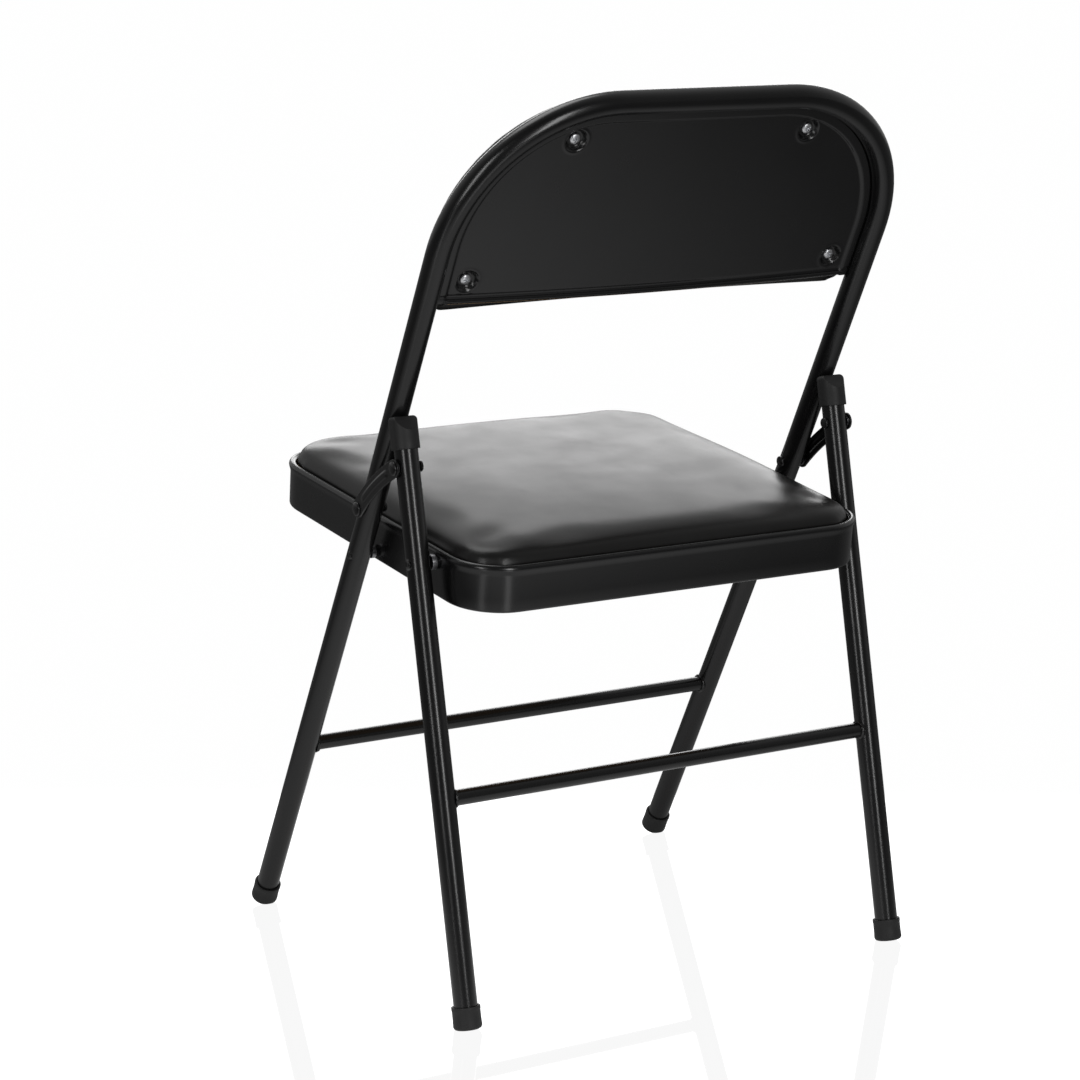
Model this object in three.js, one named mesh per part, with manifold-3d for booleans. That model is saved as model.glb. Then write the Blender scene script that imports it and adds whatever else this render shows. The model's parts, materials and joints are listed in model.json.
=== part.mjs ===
// Folding chair: a hooped steel tube front frame, two straight rear legs, a padded seat and a padded back.
// Millimetres. +X is the sitter's left, +Y is the rear, +Z is up, and the floor is z = 0.
import * as THREE from 'three';
import { mergeVertices } from 'three/addons/utils/BufferGeometryUtils.js';
import Module from 'manifold-3d';

const wasm = await Module();
wasm.setup();
const { degToRad } = THREE.MathUtils;

// Front rail: one bent tube that makes both front legs and the hoop behind the back pad.
const railHalfSpan = 224;
const tubeDiameter = 21;
const tubeWall = 1.2;
const lowerLean = degToRad(28.9);
const upperLean = degToRad(27.6);
const bendHeight = 441;
const topHeight = 784.4;
const archRadius = 139.6;
const frontCrossbarHeight = 180.3;

// Rear legs: two straight tubes that lean the other way, with a plastic cap on top.
const rearSpread = 0.6;
const rearFootReach = 404.4;
const rearLean = degToRad(11.9);
const rearCrossbarHeight = 194.4;
const crossbarDiameter = 14;
const capDiameter = 25;
const capLength = 28.5;
const capOverlap = 11;
const capFacetDrop = 12;
const capFacetSlope = degToRad(55);
const legTopClearance = 2;

// Feet: rubber cups over the four tube ends.
const footDiameter = 25.3;
const footHeight = 20;
const footEdgeRadius = 3;
const footLipEdge = 1;
const footFlatCut = 1.1;
const soleThickness = 3;

// Pivots, as heights on the tube they sit on. The rear pivot is given by its drop below the seat's rim.
const seatPivotHeight = 382.5;
const linkFrontHeight = 427.9;
const rearPivotDrop = 11.7;
const linkRearHeight = 474.4;
const rivetDiameter = 6.4;
const rivetHeadDiameter = 12.5;
const rivetHeadHeight = 2.4;
const sunkHeadDiameter = 7.8;
const sunkHeadHeight = 1;
const sunkSeatDiameter = 9.2;
const sunkSeatDepth = 0.8;
const rivetTailDiameter = 10;
const rivetTailHeight = 2.2;
const spacerDiameter = 12;
const linkStandoff = 1.6;
const bushNeckDiameter = 8;
const bushShoulderDiameter = 14;

// Link plates.
const linkWidth = 16;
const linkThickness = 2;
const linkArch = 3.5;
const linkRibWidth = 5;
const linkRibHeight = 1.1;
const linkRibInset = 15;

// Seat: a pressed steel apron, a board on its inner flange and a cushion on the board.
const seatTilt = degToRad(6.06);
const seatPivotRise = 8.2;
const seatSideGap = 4.5;
const seatFrontReach = 217.5;
const seatRearReach = 178.5;
const seatFrontCorner = 58;
const seatRearCorner = 48;
const apronHeight = 42.5;
const sheetThickness = 1.6;
const rimWidth = 7;
const rimHeight = 4;
const rimEdgeRadius = 1.8;
const hemWidth = 12;
const flangeWidth = 30;
const flangeDrop = 12.5;
const boardThickness = 6;
const boardSideGap = 1.5;
const cushionHeight = 20;
const cushionEdgeRadius = 9;
const cushionSideGap = 1;

// Back: a pressed steel panel inside the hoop, a board and a pad in front of it.
const panelHeight = 181;
const panelThickness = 1.4;
const panelRecess = 3.3;
const panelBulge = 6;
const panelBottomCorner = 14;
const panelHemDiameter = 5;
const dimpleDiameter = 22;
const dimpleWall = 1.4;
const dimpleStandoff = 1.5;
const padThickness = 20;
const padInset = 10;
const padOverhang = 17;
const padBottomCorner = 26;
const padEdgeRadius = 12;
const backBoardThickness = 5;
const backBoardInset = 11;
const screwPositions = { upper: { across: 117.3, down: 36.5 }, lower: { across: 187.3, down: 169.5 } };

// Screws.
const screwDiameter = 4;
const screwHeadDiameter = 9.2;
const screwHeadHeight = 3.2;
const screwTipLength = 3;
const screwShort = 1;
const crossSlotWidth = 1.1;
const crossSlotLength = 5;
const crossSlotDepth = 1.4;
const seatScrewInset = 17;
const seatScrewCorner = 70;

// Clearances, and how finely round shapes are cut into flats.
const gap = 0.3;
const throughCut = 2;
const weldDistance = 1e-4;
const tubeFaces = 18;
const smallFaces = 12;
const archSteps = 8;
const beadSteps = 12;
const bulgeStepsAcross = 20;
const bulgeStepsUp = 14;

// A domed head's outline, as shares of its radius and its height.
const domeOutline = [[1, 0], [1, 0.32], [0.8, 0.77], [0.45, 0.96], [0, 1]];

// Worked out from the sizes above.
const tubeRadius = tubeDiameter / 2;
const rearHalfSpan = railHalfSpan + rearSpread;
const tubeInnerFace = railHalfSpan - tubeRadius;
const tubeOuterFace = railHalfSpan + tubeRadius;
const rearInnerFace = tubeInnerFace + rearSpread;
const rearOuterFace = tubeOuterFace + rearSpread;
const seatHalfWidth = tubeInnerFace - seatSideGap;
const bendReach = bendHeight * Math.tan(lowerLean);
const archTop = (topHeight - bendHeight) / Math.cos(upperLean);
const frontAxisY = (z) => (z < bendHeight
  ? z * Math.tan(lowerLean)
  : bendReach + (z - bendHeight) * Math.tan(upperLean));
const rearAxisY = (z) => rearFootReach - z * Math.tan(rearLean);
const linkInnerFace = rearOuterFace + linkStandoff;
const linkOuterFace = linkInnerFace + linkThickness;
const flangeTop = apronHeight - flangeDrop;
const panelBottom = archTop - tubeRadius - panelHeight;
const padBottom = panelBottom - padOverhang;
const padRearFace = -tubeRadius - 2 * gap;
const dimpleFloor = padRearFace + dimpleStandoff;

// The rear leg's tube ends where its front edge comes `legTopClearance` short of the front tube.
const legEdges = tubeRadius / Math.cos(rearLean) + tubeRadius / Math.cos(upperLean);
const legSpread = rearFootReach - bendReach + bendHeight * Math.tan(upperLean);
const legTopHeight = (legSpread - legEdges - legTopClearance) / (Math.tan(rearLean) + Math.tan(upperLean));

// The rear pivot is where the leg's axis comes `rearPivotDrop` below the rim, square to the tilted seat.
const seatPivotY = frontAxisY(seatPivotHeight);
const rearPivotRise = apronHeight - rearPivotDrop - seatPivotRise;
const footToSeatPivot = rearFootReach - seatPivotY;
const seatPivotLevel = seatPivotHeight * Math.cos(seatTilt) - footToSeatPivot * Math.sin(seatTilt);
const legSteepness = Math.cos(seatTilt) - Math.tan(rearLean) * Math.sin(seatTilt);
const rearPivotHeight = (rearPivotRise + seatPivotLevel) / legSteepness;

const pivots = {
  seat: { y: seatPivotY, z: seatPivotHeight },
  linkFront: { y: frontAxisY(linkFrontHeight), z: linkFrontHeight },
  rear: { y: rearAxisY(rearPivotHeight), z: rearPivotHeight },
  linkRear: { y: rearAxisY(linkRearHeight), z: linkRearHeight },
};
const sides = [['left', 1], ['right', -1]];

// Materials.
const paint = { color: 0x141415, roughness: 0.34, metalness: 0.2 };
const vinyl = { color: 0x1b1a1a, roughness: 0.45, metalness: 0 };
const rubber = { color: 0x1f1f20, roughness: 0.75, metalness: 0 };
const zinc = { color: 0xc9ccd0, roughness: 0.25, metalness: 1 };
const plywood = { color: 0xb08a5a, roughness: 0.8, metalness: 0 };

/** Turns a closed geometry into a solid that can be joined and cut. */
function solidOf(geometry) {
  const bare = geometry.clone();
  bare.deleteAttribute('normal');
  bare.deleteAttribute('uv');
  const merged = mergeVertices(bare, weldDistance);
  const vertProperties = new Float32Array(merged.attributes.position.array);
  const triVerts = new Uint32Array(merged.index.array);
  return new wasm.Manifold(new wasm.Mesh({ numProp: 3, vertProperties, triVerts }));
}

/** Turns a solid back into a geometry. */
function geometryOf(solid) {
  const { vertProperties, triVerts } = solid.getMesh();
  const geometry = new THREE.BufferGeometry();
  geometry.setAttribute('position', new THREE.BufferAttribute(vertProperties, 3));
  geometry.setIndex(new THREE.BufferAttribute(triVerts, 1));
  geometry.computeVertexNormals();
  return geometry;
}

/** Joins closed geometries into one. */
function join(...parts) {
  return geometryOf(parts.map(solidOf).reduce((all, part) => all.add(part)));
}

/** Cuts closed geometries away from a base. */
function cut(base, ...tools) {
  return geometryOf(tools.map(solidOf).reduce((left, tool) => left.subtract(tool), solidOf(base)));
}

/** Keeps what a base and a tool share. */
function common(base, tool) {
  return geometryOf(solidOf(base).intersect(solidOf(tool)));
}

/** A named mesh of one sub-part. */
function piece(name, geometry, look) {
  const mesh = new THREE.Mesh(geometry, new THREE.MeshStandardMaterial(look));
  mesh.name = name;
  return mesh;
}

/** A round rod along X, centred on (x, y, z). */
function rodAcross(diameter, length, x, y, z, faces = smallFaces) {
  return new THREE.CylinderGeometry(diameter / 2, diameter / 2, length, faces)
    .rotateZ(Math.PI / 2)
    .translate(x, y, z);
}

/** The cut that sinks a flat seat for a low rivet head into a tube's outer side at X `side`. */
const sunkSeat = (side, y, z) => rodAcross(sunkSeatDiameter, 2 * sunkSeatDepth, side, y, z);

/** A solid of revolution about Z, from [radius, height] points that start and end on the axis or close. */
function turned(points, faces = smallFaces) {
  const profile = points.map(([radius, height]) => new THREE.Vector2(radius, height));
  return new THREE.LatheGeometry(profile, faces).rotateX(Math.PI / 2);
}

/** Points of a quarter round in a lathe profile, from angle `start`, in degrees. */
function quarter(radius, height, r, start, steps = 3) {
  return Array.from({ length: steps + 1 }, (_, i) => {
    const angle = degToRad(start + (90 * i) / steps);
    return [radius + r * Math.cos(angle), height + r * Math.sin(angle)];
  });
}

/** A round tube section, hollow when `wall` is given. */
function ringShape(radius, wall = 0) {
  const shape = new THREE.Shape();
  shape.absarc(0, 0, radius, 0, 2 * Math.PI);
  if (wall > 0) {
    const bore = new THREE.Path();
    bore.absarc(0, 0, radius - wall, 0, 2 * Math.PI);
    shape.holes.push(bore);
  }
  return shape;
}

/** A straight tube or rod along Z from `bottom` to `top`. */
function straightTube(radius, bottom, top, wall = 0, faces = tubeFaces) {
  const options = { depth: top - bottom, bevelEnabled: false, curveSegments: faces / 2 };
  return new THREE.ExtrudeGeometry(ringShape(radius, wall), options).translate(0, 0, bottom);
}

/** A polyline for a bent tube: one extrusion step from each station to the next. */
class BentPath extends THREE.Curve {
  constructor(stations) {
    super();
    this.stations = stations;
  }

  getPointAt(u) {
    const place = u * (this.stations.length - 1);
    const index = Math.min(Math.floor(place), this.stations.length - 2);
    return this.stations[index].clone().lerp(this.stations[index + 1], place - index);
  }

  getTangentAt(u) {
    const last = this.stations.length - 1;
    const index = Math.round(u * last);
    const before = this.stations[Math.max(index - 1, 0)];
    const after = this.stations[Math.min(index + 1, last)];
    const here = this.stations[index];
    const incoming = here.clone().sub(before).normalize();
    const outgoing = after.clone().sub(here).normalize();
    return incoming.add(outgoing).normalize();
  }
}

/** A tube swept along stations. */
function sweptTube(stations, radius, wall = 0, faces = tubeFaces) {
  const options = {
    steps: stations.length - 1,
    bevelEnabled: false,
    curveSegments: faces / 2,
    extrudePath: new BentPath(stations),
  };
  return new THREE.ExtrudeGeometry(ringShape(radius, wall), options);
}

// Frames of reference. Z runs up the tube in each of them, and Y is square to it towards the rear.
const lowerRailFrame = new THREE.Matrix4().makeRotationX(-lowerLean);
const backFrame = new THREE.Matrix4().makeRotationX(-upperLean).setPosition(0, bendReach, bendHeight);
const rearLegFrame = new THREE.Matrix4().makeRotationX(rearLean).setPosition(0, rearFootReach, 0);

/** Height on a leaning tube's own axis where its end stands `soleThickness` clear of the floor. */
const tubeEndOffset = (lean) => (soleThickness + tubeRadius * Math.sin(lean)) / Math.cos(lean);

/** Places a group by a frame of reference. */
function framed(frame) {
  const holder = new THREE.Group();
  holder.applyMatrix4(frame);
  return holder;
}

// ---------------------------------------------------------------- front frame

/** Centreline stations of the front rail, from the left foot over the hoop to the right foot. */
function railStations() {
  const end = (side) => new THREE.Vector3(0, 0, tubeEndOffset(lowerLean))
    .applyMatrix4(lowerRailFrame)
    .setX(side * railHalfSpan);
  const bend = (side) => new THREE.Vector3(side * railHalfSpan, bendReach, bendHeight);
  const arc = (side, from) => Array.from({ length: archSteps + 1 }, (_, i) => {
    const angle = from + ((Math.PI / 2) * i) / archSteps;
    const across = side * (railHalfSpan - archRadius) + archRadius * Math.cos(angle);
    const up = archTop - archRadius + archRadius * Math.sin(angle);
    return new THREE.Vector3(across, 0, up).applyMatrix4(backFrame);
  });
  return [end(1), bend(1), ...arc(1, 0), ...arc(-1, Math.PI / 2), bend(-1), end(-1)];
}

/** The bent front tube with its cross holes for the seat and link rivets and its sunk seats. */
function frontTube() {
  const tube = sweptTube(railStations(), tubeRadius, tubeWall);
  const hole = (pivot, side) => rodAcross(
    rivetDiameter + 2 * gap,
    tubeDiameter + 2 * throughCut,
    side * railHalfSpan,
    pivot.y,
    pivot.z,
  );
  const holes = sides.flatMap(([, side]) => [
    hole(pivots.seat, side),
    hole(pivots.linkFront, side),
    sunkSeat(side * tubeOuterFace, pivots.seat.y, pivots.seat.z),
  ]);
  return cut(tube, ...holes);
}

/** A crossbar between two legs at (y, z) in the side view, with its ends coped to fit them. */
function crossbar(halfSpan, y, z, legFrame) {
  const bar = rodAcross(crossbarDiameter, 2 * halfSpan, 0, y, z, tubeFaces);
  const bore = rodAcross(crossbarDiameter - 2 * tubeWall, 2 * halfSpan, 0, y, z, tubeFaces);
  const leg = (side) => straightTube(tubeRadius + gap, 0, topHeight)
    .applyMatrix4(legFrame)
    .translate(side * halfSpan, 0, 0);
  return cut(bar, bore, leg(1), leg(-1));
}

/** A rubber cup on the end of a tube that leans to the rear by `lean`, in the tube's own frame. */
function foot(lean) {
  const radius = footDiameter / 2;
  const edge = footEdgeRadius;
  const sole = ((radius - edge) * Math.sin(lean) + edge - footFlatCut) / Math.cos(lean) - edge;
  const top = sole + footHeight;
  const seat = tubeEndOffset(lean) - gap;
  const boreRadius = tubeRadius + gap;
  const profile = [
    [0, sole],
    ...quarter(radius - edge, sole + edge, edge, -90),
    [radius, top - footLipEdge],
    [radius - footLipEdge, top],
    [boreRadius, top],
    [boreRadius, seat],
    [0, seat],
  ];
  const floor = new THREE.BoxGeometry(4 * footDiameter, 4 * footDiameter, footHeight)
    .translate(0, 0, -footHeight / 2)
    .rotateX(lean);
  return cut(turned(profile, tubeFaces), floor);
}

// ---------------------------------------------------------------- rivets and screws

/** Lathe points of a domed head, `diameter` wide and `height` high, on a face at height `face`. */
function domedHead(diameter, height, face) {
  return domeOutline.map(([across, up]) => [(across * diameter) / 2, face + up * height]);
}

/** Lathe points of a rivet's head on a face at height `face`. */
const rivetHead = (face) => domedHead(rivetHeadDiameter, rivetHeadHeight, face);

/** Lathe points of a low rivet head on a face at height `face`, for a seat sunk into a tube. */
const sunkHead = (face) => domedHead(sunkHeadDiameter, sunkHeadHeight, face);

/** A low-headed pin along X for the left side. Its head bears at X `head` and its plain end is at X `end`. */
function headedPin(head, end, pivot) {
  const shank = rivetDiameter / 2;
  const profile = [[0, end], [shank, end], [shank, head], ...sunkHead(head)];
  return turned(profile).rotateY(Math.PI / 2).translate(0, pivot.y, pivot.z);
}

/** A rivet along X for the left side. Its head bears at X `head` and its tail at X `tail`. */
function rivet(head, tail, pivot, headOutline = rivetHead) {
  const shank = rivetDiameter / 2;
  const radius = rivetTailDiameter / 2;
  const edge = rivetTailHeight / 3;
  const profile = [
    [0, tail - rivetTailHeight],
    [radius - edge, tail - rivetTailHeight],
    [radius, tail - rivetTailHeight + edge],
    [radius, tail],
    [shank, tail],
    [shank, head],
    ...headOutline(head),
  ];
  return turned(profile).rotateY(Math.PI / 2).translate(0, pivot.y, pivot.z);
}

/** A spacer on a rivet along X, which fills the room between two faces at X `from` and X `to`. */
function spacer(from, to, pivot) {
  const inner = rivetDiameter / 2 + gap;
  const outer = spacerDiameter / 2;
  const [start, end] = [from + gap, to - gap];
  const profile = [[inner, start], [outer, start], [outer, end], [inner, end], [inner, start]];
  return turned(profile).rotateY(Math.PI / 2).translate(0, pivot.y, pivot.z);
}

/** A cross-head screw along Z. The head's flat underside is at z = 0 and the shank runs down. */
function screw(length) {
  const shank = screwDiameter / 2;
  const profile = [
    [0, -length],
    [shank, screwTipLength - length],
    [shank, 0],
    ...domedHead(screwHeadDiameter, screwHeadHeight, 0),
  ];
  const slot = (turn) => new THREE.BoxGeometry(crossSlotLength, crossSlotWidth, 2 * crossSlotDepth)
    .rotateZ(turn)
    .translate(0, 0, screwHeadHeight);
  return cut(turned(profile), slot(0), slot(Math.PI / 2));
}

// ---------------------------------------------------------------- links

/** Outline of a link: an arched bar with round ends, from the origin to (span, 0), `width` wide. */
function archedBar(span, width, rise, inset = 0) {
  const radius = (span * span / 4 + rise * rise) / (2 * rise);
  const centre = new THREE.Vector2(span / 2, rise - radius);
  const reach = Math.asin(span / 2 / radius) - inset / radius;
  const [start, end] = [Math.PI / 2 + reach, Math.PI / 2 - reach];
  const endCentre = (angle) => [centre.x + radius * Math.cos(angle), centre.y + radius * Math.sin(angle)];
  const shape = new THREE.Shape();
  shape.absarc(centre.x, centre.y, radius + width / 2, start, end, true);
  shape.absarc(...endCentre(end), width / 2, end, end - Math.PI, true);
  shape.absarc(centre.x, centre.y, radius - width / 2, end, start, false);
  shape.absarc(...endCentre(start), width / 2, start + Math.PI, start, true);
  return shape;
}

/** The pressed link plate with its raised rib, in place on the left side. */
function linkPlate() {
  const { linkFront, linkRear } = pivots;
  const run = new THREE.Vector2(linkRear.y - linkFront.y, linkRear.z - linkFront.z);
  const span = run.length();
  const along = run.clone().normalize();
  const outline = archedBar(span, linkWidth, linkArch);
  for (const across of [0, span]) {
    const hole = new THREE.Path();
    hole.absarc(across, 0, rivetDiameter / 2 + gap, 0, 2 * Math.PI);
    outline.holes.push(hole);
  }
  const plain = { bevelEnabled: false, curveSegments: 6 };
  const plate = new THREE.ExtrudeGeometry(outline, { ...plain, depth: linkThickness });
  const ribOutline = archedBar(span, linkRibWidth, linkArch, linkRibInset);
  const rib = new THREE.ExtrudeGeometry(ribOutline, { ...plain, depth: linkThickness / 2 + linkRibHeight })
    .translate(0, 0, linkThickness / 2);
  const upright = new THREE.Matrix4().makeBasis(
    new THREE.Vector3(0, along.x, along.y),
    new THREE.Vector3(0, -along.y, along.x),
    new THREE.Vector3(1, 0, 0),
  );
  upright.setPosition(linkInnerFace, linkFront.y, linkFront.z);
  return join(plate, rib).applyMatrix4(upright);
}

// ---------------------------------------------------------------- rear legs

/** Height on the leg's own axis of a point at height `z` above the floor. */
const alongLeg = (z) => z / Math.cos(rearLean);

/** A rear leg tube with its two rivet holes and one sunk seat, in the leg's own frame. */
function rearLeg() {
  const tube = straightTube(tubeRadius, tubeEndOffset(rearLean), alongLeg(legTopHeight), tubeWall);
  const hole = (height) => rodAcross(
    rivetDiameter + 2 * gap,
    tubeDiameter + 2 * throughCut,
    0,
    0,
    alongLeg(height),
  );
  const headSeat = sunkSeat(tubeRadius, 0, alongLeg(rearPivotHeight));
  return cut(tube, hole(rearPivotHeight), hole(linkRearHeight), headSeat);
}

/** A block above a plane through (0, y, z) that slopes down to the rear by `slope`. */
function blockAbove(y, z, slope) {
  const size = 4 * capDiameter;
  return new THREE.BoxGeometry(size, size, size)
    .translate(0, 0, size / 2)
    .rotateX(-slope)
    .translate(0, y, z);
}

/** A rear leg's plastic cap: hollowed for the front tube, slanted behind and flat beside the link. */
function rearLegCap() {
  const radius = capDiameter / 2;
  const tubeTop = alongLeg(legTopHeight);
  const bottom = tubeTop - capOverlap;
  const top = bottom + capLength;
  const boreRadius = tubeRadius + gap;
  const profile = [
    [boreRadius, bottom],
    [radius, bottom],
    [radius, top],
    [0, top],
    [0, tubeTop + gap],
    [boreRadius, tubeTop + gap],
    [boreRadius, bottom],
  ];
  const toLeg = rearLegFrame.clone().invert().multiply(backFrame);
  const frontTubeSpace = straightTube(tubeRadius + gap, -archRadius, archRadius)
    .applyMatrix4(toLeg)
    .translate(-rearSpread, 0, 0);
  const facet = blockAbove(radius, top - capFacetDrop, capFacetSlope);
  const flatFace = linkInnerFace - gap - rearHalfSpan;
  const linkSpace = new THREE.BoxGeometry(capDiameter, 2 * capDiameter, 4 * capLength)
    .translate(flatFace + radius, 0, bottom);
  return cut(turned(profile, tubeFaces), frontTubeSpace, facet, linkSpace);
}

// ---------------------------------------------------------------- seat

// The pan frame has its origin under the seat pivot, on the apron's bottom edge, and tilts with the seat.
const panFrame = new THREE.Matrix4()
  .makeRotationX(-seatTilt)
  .setPosition(0, pivots.seat.y, pivots.seat.z)
  .multiply(new THREE.Matrix4().makeTranslation(0, 0, -seatPivotRise));

/** A point of the side view, given in the chair's frame, in the pan frame. */
function inPan(pivot) {
  const point = new THREE.Vector3(0, pivot.y, pivot.z).applyMatrix4(panFrame.clone().invert());
  return { y: point.y, z: point.z };
}

/** The seat's outline, moved in by `inset`. */
function seatOutline(inset, PathType = THREE.Shape) {
  const half = seatHalfWidth - inset;
  const front = inset - seatFrontReach;
  const rear = seatRearReach - inset;
  const frontCorner = seatFrontCorner - inset;
  const rearCorner = seatRearCorner - inset;
  const outline = new PathType();
  outline.absarc(half - frontCorner, front + frontCorner, frontCorner, -Math.PI / 2, 0);
  outline.absarc(half - rearCorner, rear - rearCorner, rearCorner, 0, Math.PI / 2);
  outline.absarc(rearCorner - half, rear - rearCorner, rearCorner, Math.PI / 2, Math.PI);
  outline.absarc(frontCorner - half, front + frontCorner, frontCorner, Math.PI, 1.5 * Math.PI);
  return outline;
}

/** A flat solid from a seat outline, between two heights, with its edges rounded by `edge`. */
function seatPlate(inset, bottom, top, edge = 0, hole = null) {
  const shape = seatOutline(inset);
  if (hole !== null) {
    shape.holes.push(seatOutline(hole, THREE.Path));
  }
  const options = {
    depth: top - bottom - 2 * edge,
    curveSegments: 4,
    bevelEnabled: edge > 0,
    bevelThickness: edge,
    bevelSize: edge,
    bevelOffset: -edge,
    bevelSegments: 2,
  };
  return new THREE.ExtrudeGeometry(shape, options).translate(0, 0, bottom + edge);
}

/** A ring between two insets of the seat outline. */
const seatRing = (outer, inner, bottom, top, edge = 0) => seatPlate(outer, bottom, top, edge, inner);

/** Places of the four screws that hold the seat board, in the pan frame. */
const seatScrewPlaces = [
  ['front_left', 1, seatScrewCorner - seatFrontReach],
  ['front_right', -1, seatScrewCorner - seatFrontReach],
  ['rear_left', 1, seatRearReach - seatScrewCorner],
  ['rear_right', -1, seatRearReach - seatScrewCorner],
].map(([name, side, y]) => ({ name, x: side * (seatHalfWidth - seatScrewInset), y }));

/** Clearance drills for the seat screws, which run past the faces at two heights. */
function seatScrewHoles(bottom, top) {
  const radius = screwDiameter / 2 + gap;
  const drill = () => straightTube(radius, bottom - throughCut, top + throughCut, 0, smallFaces);
  return seatScrewPlaces.map(({ x, y }) => drill().translate(x, y, 0));
}

/** The pressed apron: outer wall, rolled rim, return wall, board flange and bottom hem. */
function seatApron() {
  const returnInset = rimWidth - sheetThickness;
  const wallTop = apronHeight - rimHeight / 2;
  const flangeBottom = flangeTop - sheetThickness;
  const ring = join(
    seatRing(0, sheetThickness, 0, wallTop),
    seatRing(0, rimWidth, apronHeight - rimHeight, apronHeight, rimEdgeRadius),
    seatRing(returnInset, rimWidth, flangeBottom, wallTop),
    seatRing(returnInset, flangeWidth, flangeBottom, flangeTop),
    seatRing(0, hemWidth, 0, sheetThickness),
  );
  const rear = inPan(pivots.rear);
  const across = 2 * (seatHalfWidth + gap);
  const pivotHole = rodAcross(rivetDiameter + 2 * gap, across, 0, 0, seatPivotRise);
  const bushHole = rodAcross(bushNeckDiameter + 2 * gap, across, 0, rear.y, rear.z);
  return cut(ring, pivotHole, bushHole, ...seatScrewHoles(flangeBottom, flangeTop));
}

/** The board that closes the pan and carries the cushion. */
function seatBoard() {
  const bottom = flangeTop + gap;
  const plate = seatPlate(rimWidth + boardSideGap, bottom, bottom + boardThickness);
  return cut(plate, ...seatScrewHoles(bottom, bottom + boardThickness));
}

/** The cushion, as one plain solid. */
function seatCushion() {
  const bottom = flangeTop + boardThickness + 2 * gap;
  return seatPlate(rimWidth + cushionSideGap, bottom, bottom + cushionHeight, cushionEdgeRadius);
}

/** The spacer between the apron and the front tube, on the seat rivet. */
const seatPivotSpacer = () => spacer(seatHalfWidth, tubeInnerFace, { y: 0, z: seatPivotRise });

/** The bush set into the apron that the rear leg turns on: shoulder outside, neck, and tail inside. */
function rearPivotBush() {
  const neck = bushNeckDiameter / 2;
  const shoulder = bushShoulderDiameter / 2;
  const tail = rivetTailDiameter / 2;
  const tailFace = seatHalfWidth - sheetThickness - gap;
  const profile = [
    [0, tailFace - sheetThickness],
    [tail, tailFace - sheetThickness],
    [tail, tailFace],
    [neck, tailFace],
    [neck, seatHalfWidth + gap],
    [shoulder, seatHalfWidth + gap],
    [shoulder, rearInnerFace - gap],
    [0, rearInnerFace - gap],
  ];
  const place = inPan(pivots.rear);
  return turned(profile).rotateY(Math.PI / 2).translate(0, place.y, place.z);
}

/** A seat screw, head down under the flange. */
function seatScrew() {
  return screw(sheetThickness + 2 * gap + boardThickness - screwShort).rotateX(Math.PI);
}

// ---------------------------------------------------------------- back

/** Half the hoop's width, between tube centrelines, at a height in the back frame. */
function hoopHalfWidth(up) {
  const rise = THREE.MathUtils.clamp(up - (archTop - archRadius), 0, archRadius);
  return railHalfSpan - archRadius + Math.sqrt(archRadius ** 2 - rise ** 2);
}

/** How far the back bulges to the rear at a point of the back frame: nothing along the hoop. */
function bulge(across, up) {
  const sideways = Math.max(1 - (across / hoopHalfWidth(up)) ** 2, 0);
  return (panelBulge * sideways * (archTop - up)) / (archTop - panelBottom);
}

/**
 * A block of the back's outline, moved in from the hoop's outer edge by `inset`. Its front end is
 * at `front` in the back frame, with an edge rounded by `edge`.
 */
function backBlock(inset, bottom, bottomCorner, front = -archRadius, edge = 0) {
  const half = tubeOuterFace - inset;
  const top = archTop + tubeRadius - inset;
  const topCorner = archRadius + tubeRadius - inset;
  const shape = new THREE.Shape();
  shape.absarc(half - bottomCorner, bottom + bottomCorner, bottomCorner, -Math.PI / 2, 0);
  shape.absarc(half - topCorner, top - topCorner, topCorner, 0, Math.PI / 2);
  shape.absarc(topCorner - half, top - topCorner, topCorner, Math.PI / 2, Math.PI);
  shape.absarc(bottomCorner - half, bottom + bottomCorner, bottomCorner, Math.PI, 1.5 * Math.PI);
  const options = {
    depth: 2 * archRadius - 2 * edge,
    curveSegments: 5,
    bevelEnabled: edge > 0,
    bevelThickness: edge,
    bevelSize: edge,
    bevelOffset: -edge,
    bevelSegments: 3,
  };
  return new THREE.ExtrudeGeometry(shape, options)
    .translate(0, 0, edge - 2 * archRadius - front)
    .rotateX(Math.PI / 2);
}

/** A sheet that follows the bulge, with its rear face `rearFace` behind the hoop's mid-plane. */
function curvedSheet(rearFace, thickness) {
  const [width, height] = [3 * railHalfSpan, 2 * archTop];
  const sheet = new THREE.BoxGeometry(width, thickness, height, bulgeStepsAcross, 1, bulgeStepsUp)
    .translate(0, rearFace - thickness / 2, 0);
  const places = sheet.attributes.position;
  for (let i = 0; i < places.count; i += 1) {
    places.setY(i, places.getY(i) + bulge(places.getX(i), places.getZ(i)));
  }
  return sheet;
}

/** The four places of the back screws, in the back frame, with the bulge there. */
const backScrewPlaces = Object.entries(screwPositions).flatMap(([level, { across, down }]) => (
  sides.map(([name, side]) => {
    const up = archTop - down;
    return { name: `${level}_${name}`, x: side * across, z: up, bulge: bulge(across, up) };
  })
));

/** A cylinder or ring about the back's normal at a screw. */
const atBackScrew = (geometry, place) => geometry
  .rotateX(-Math.PI / 2)
  .translate(place.x, place.bulge, place.z);

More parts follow.
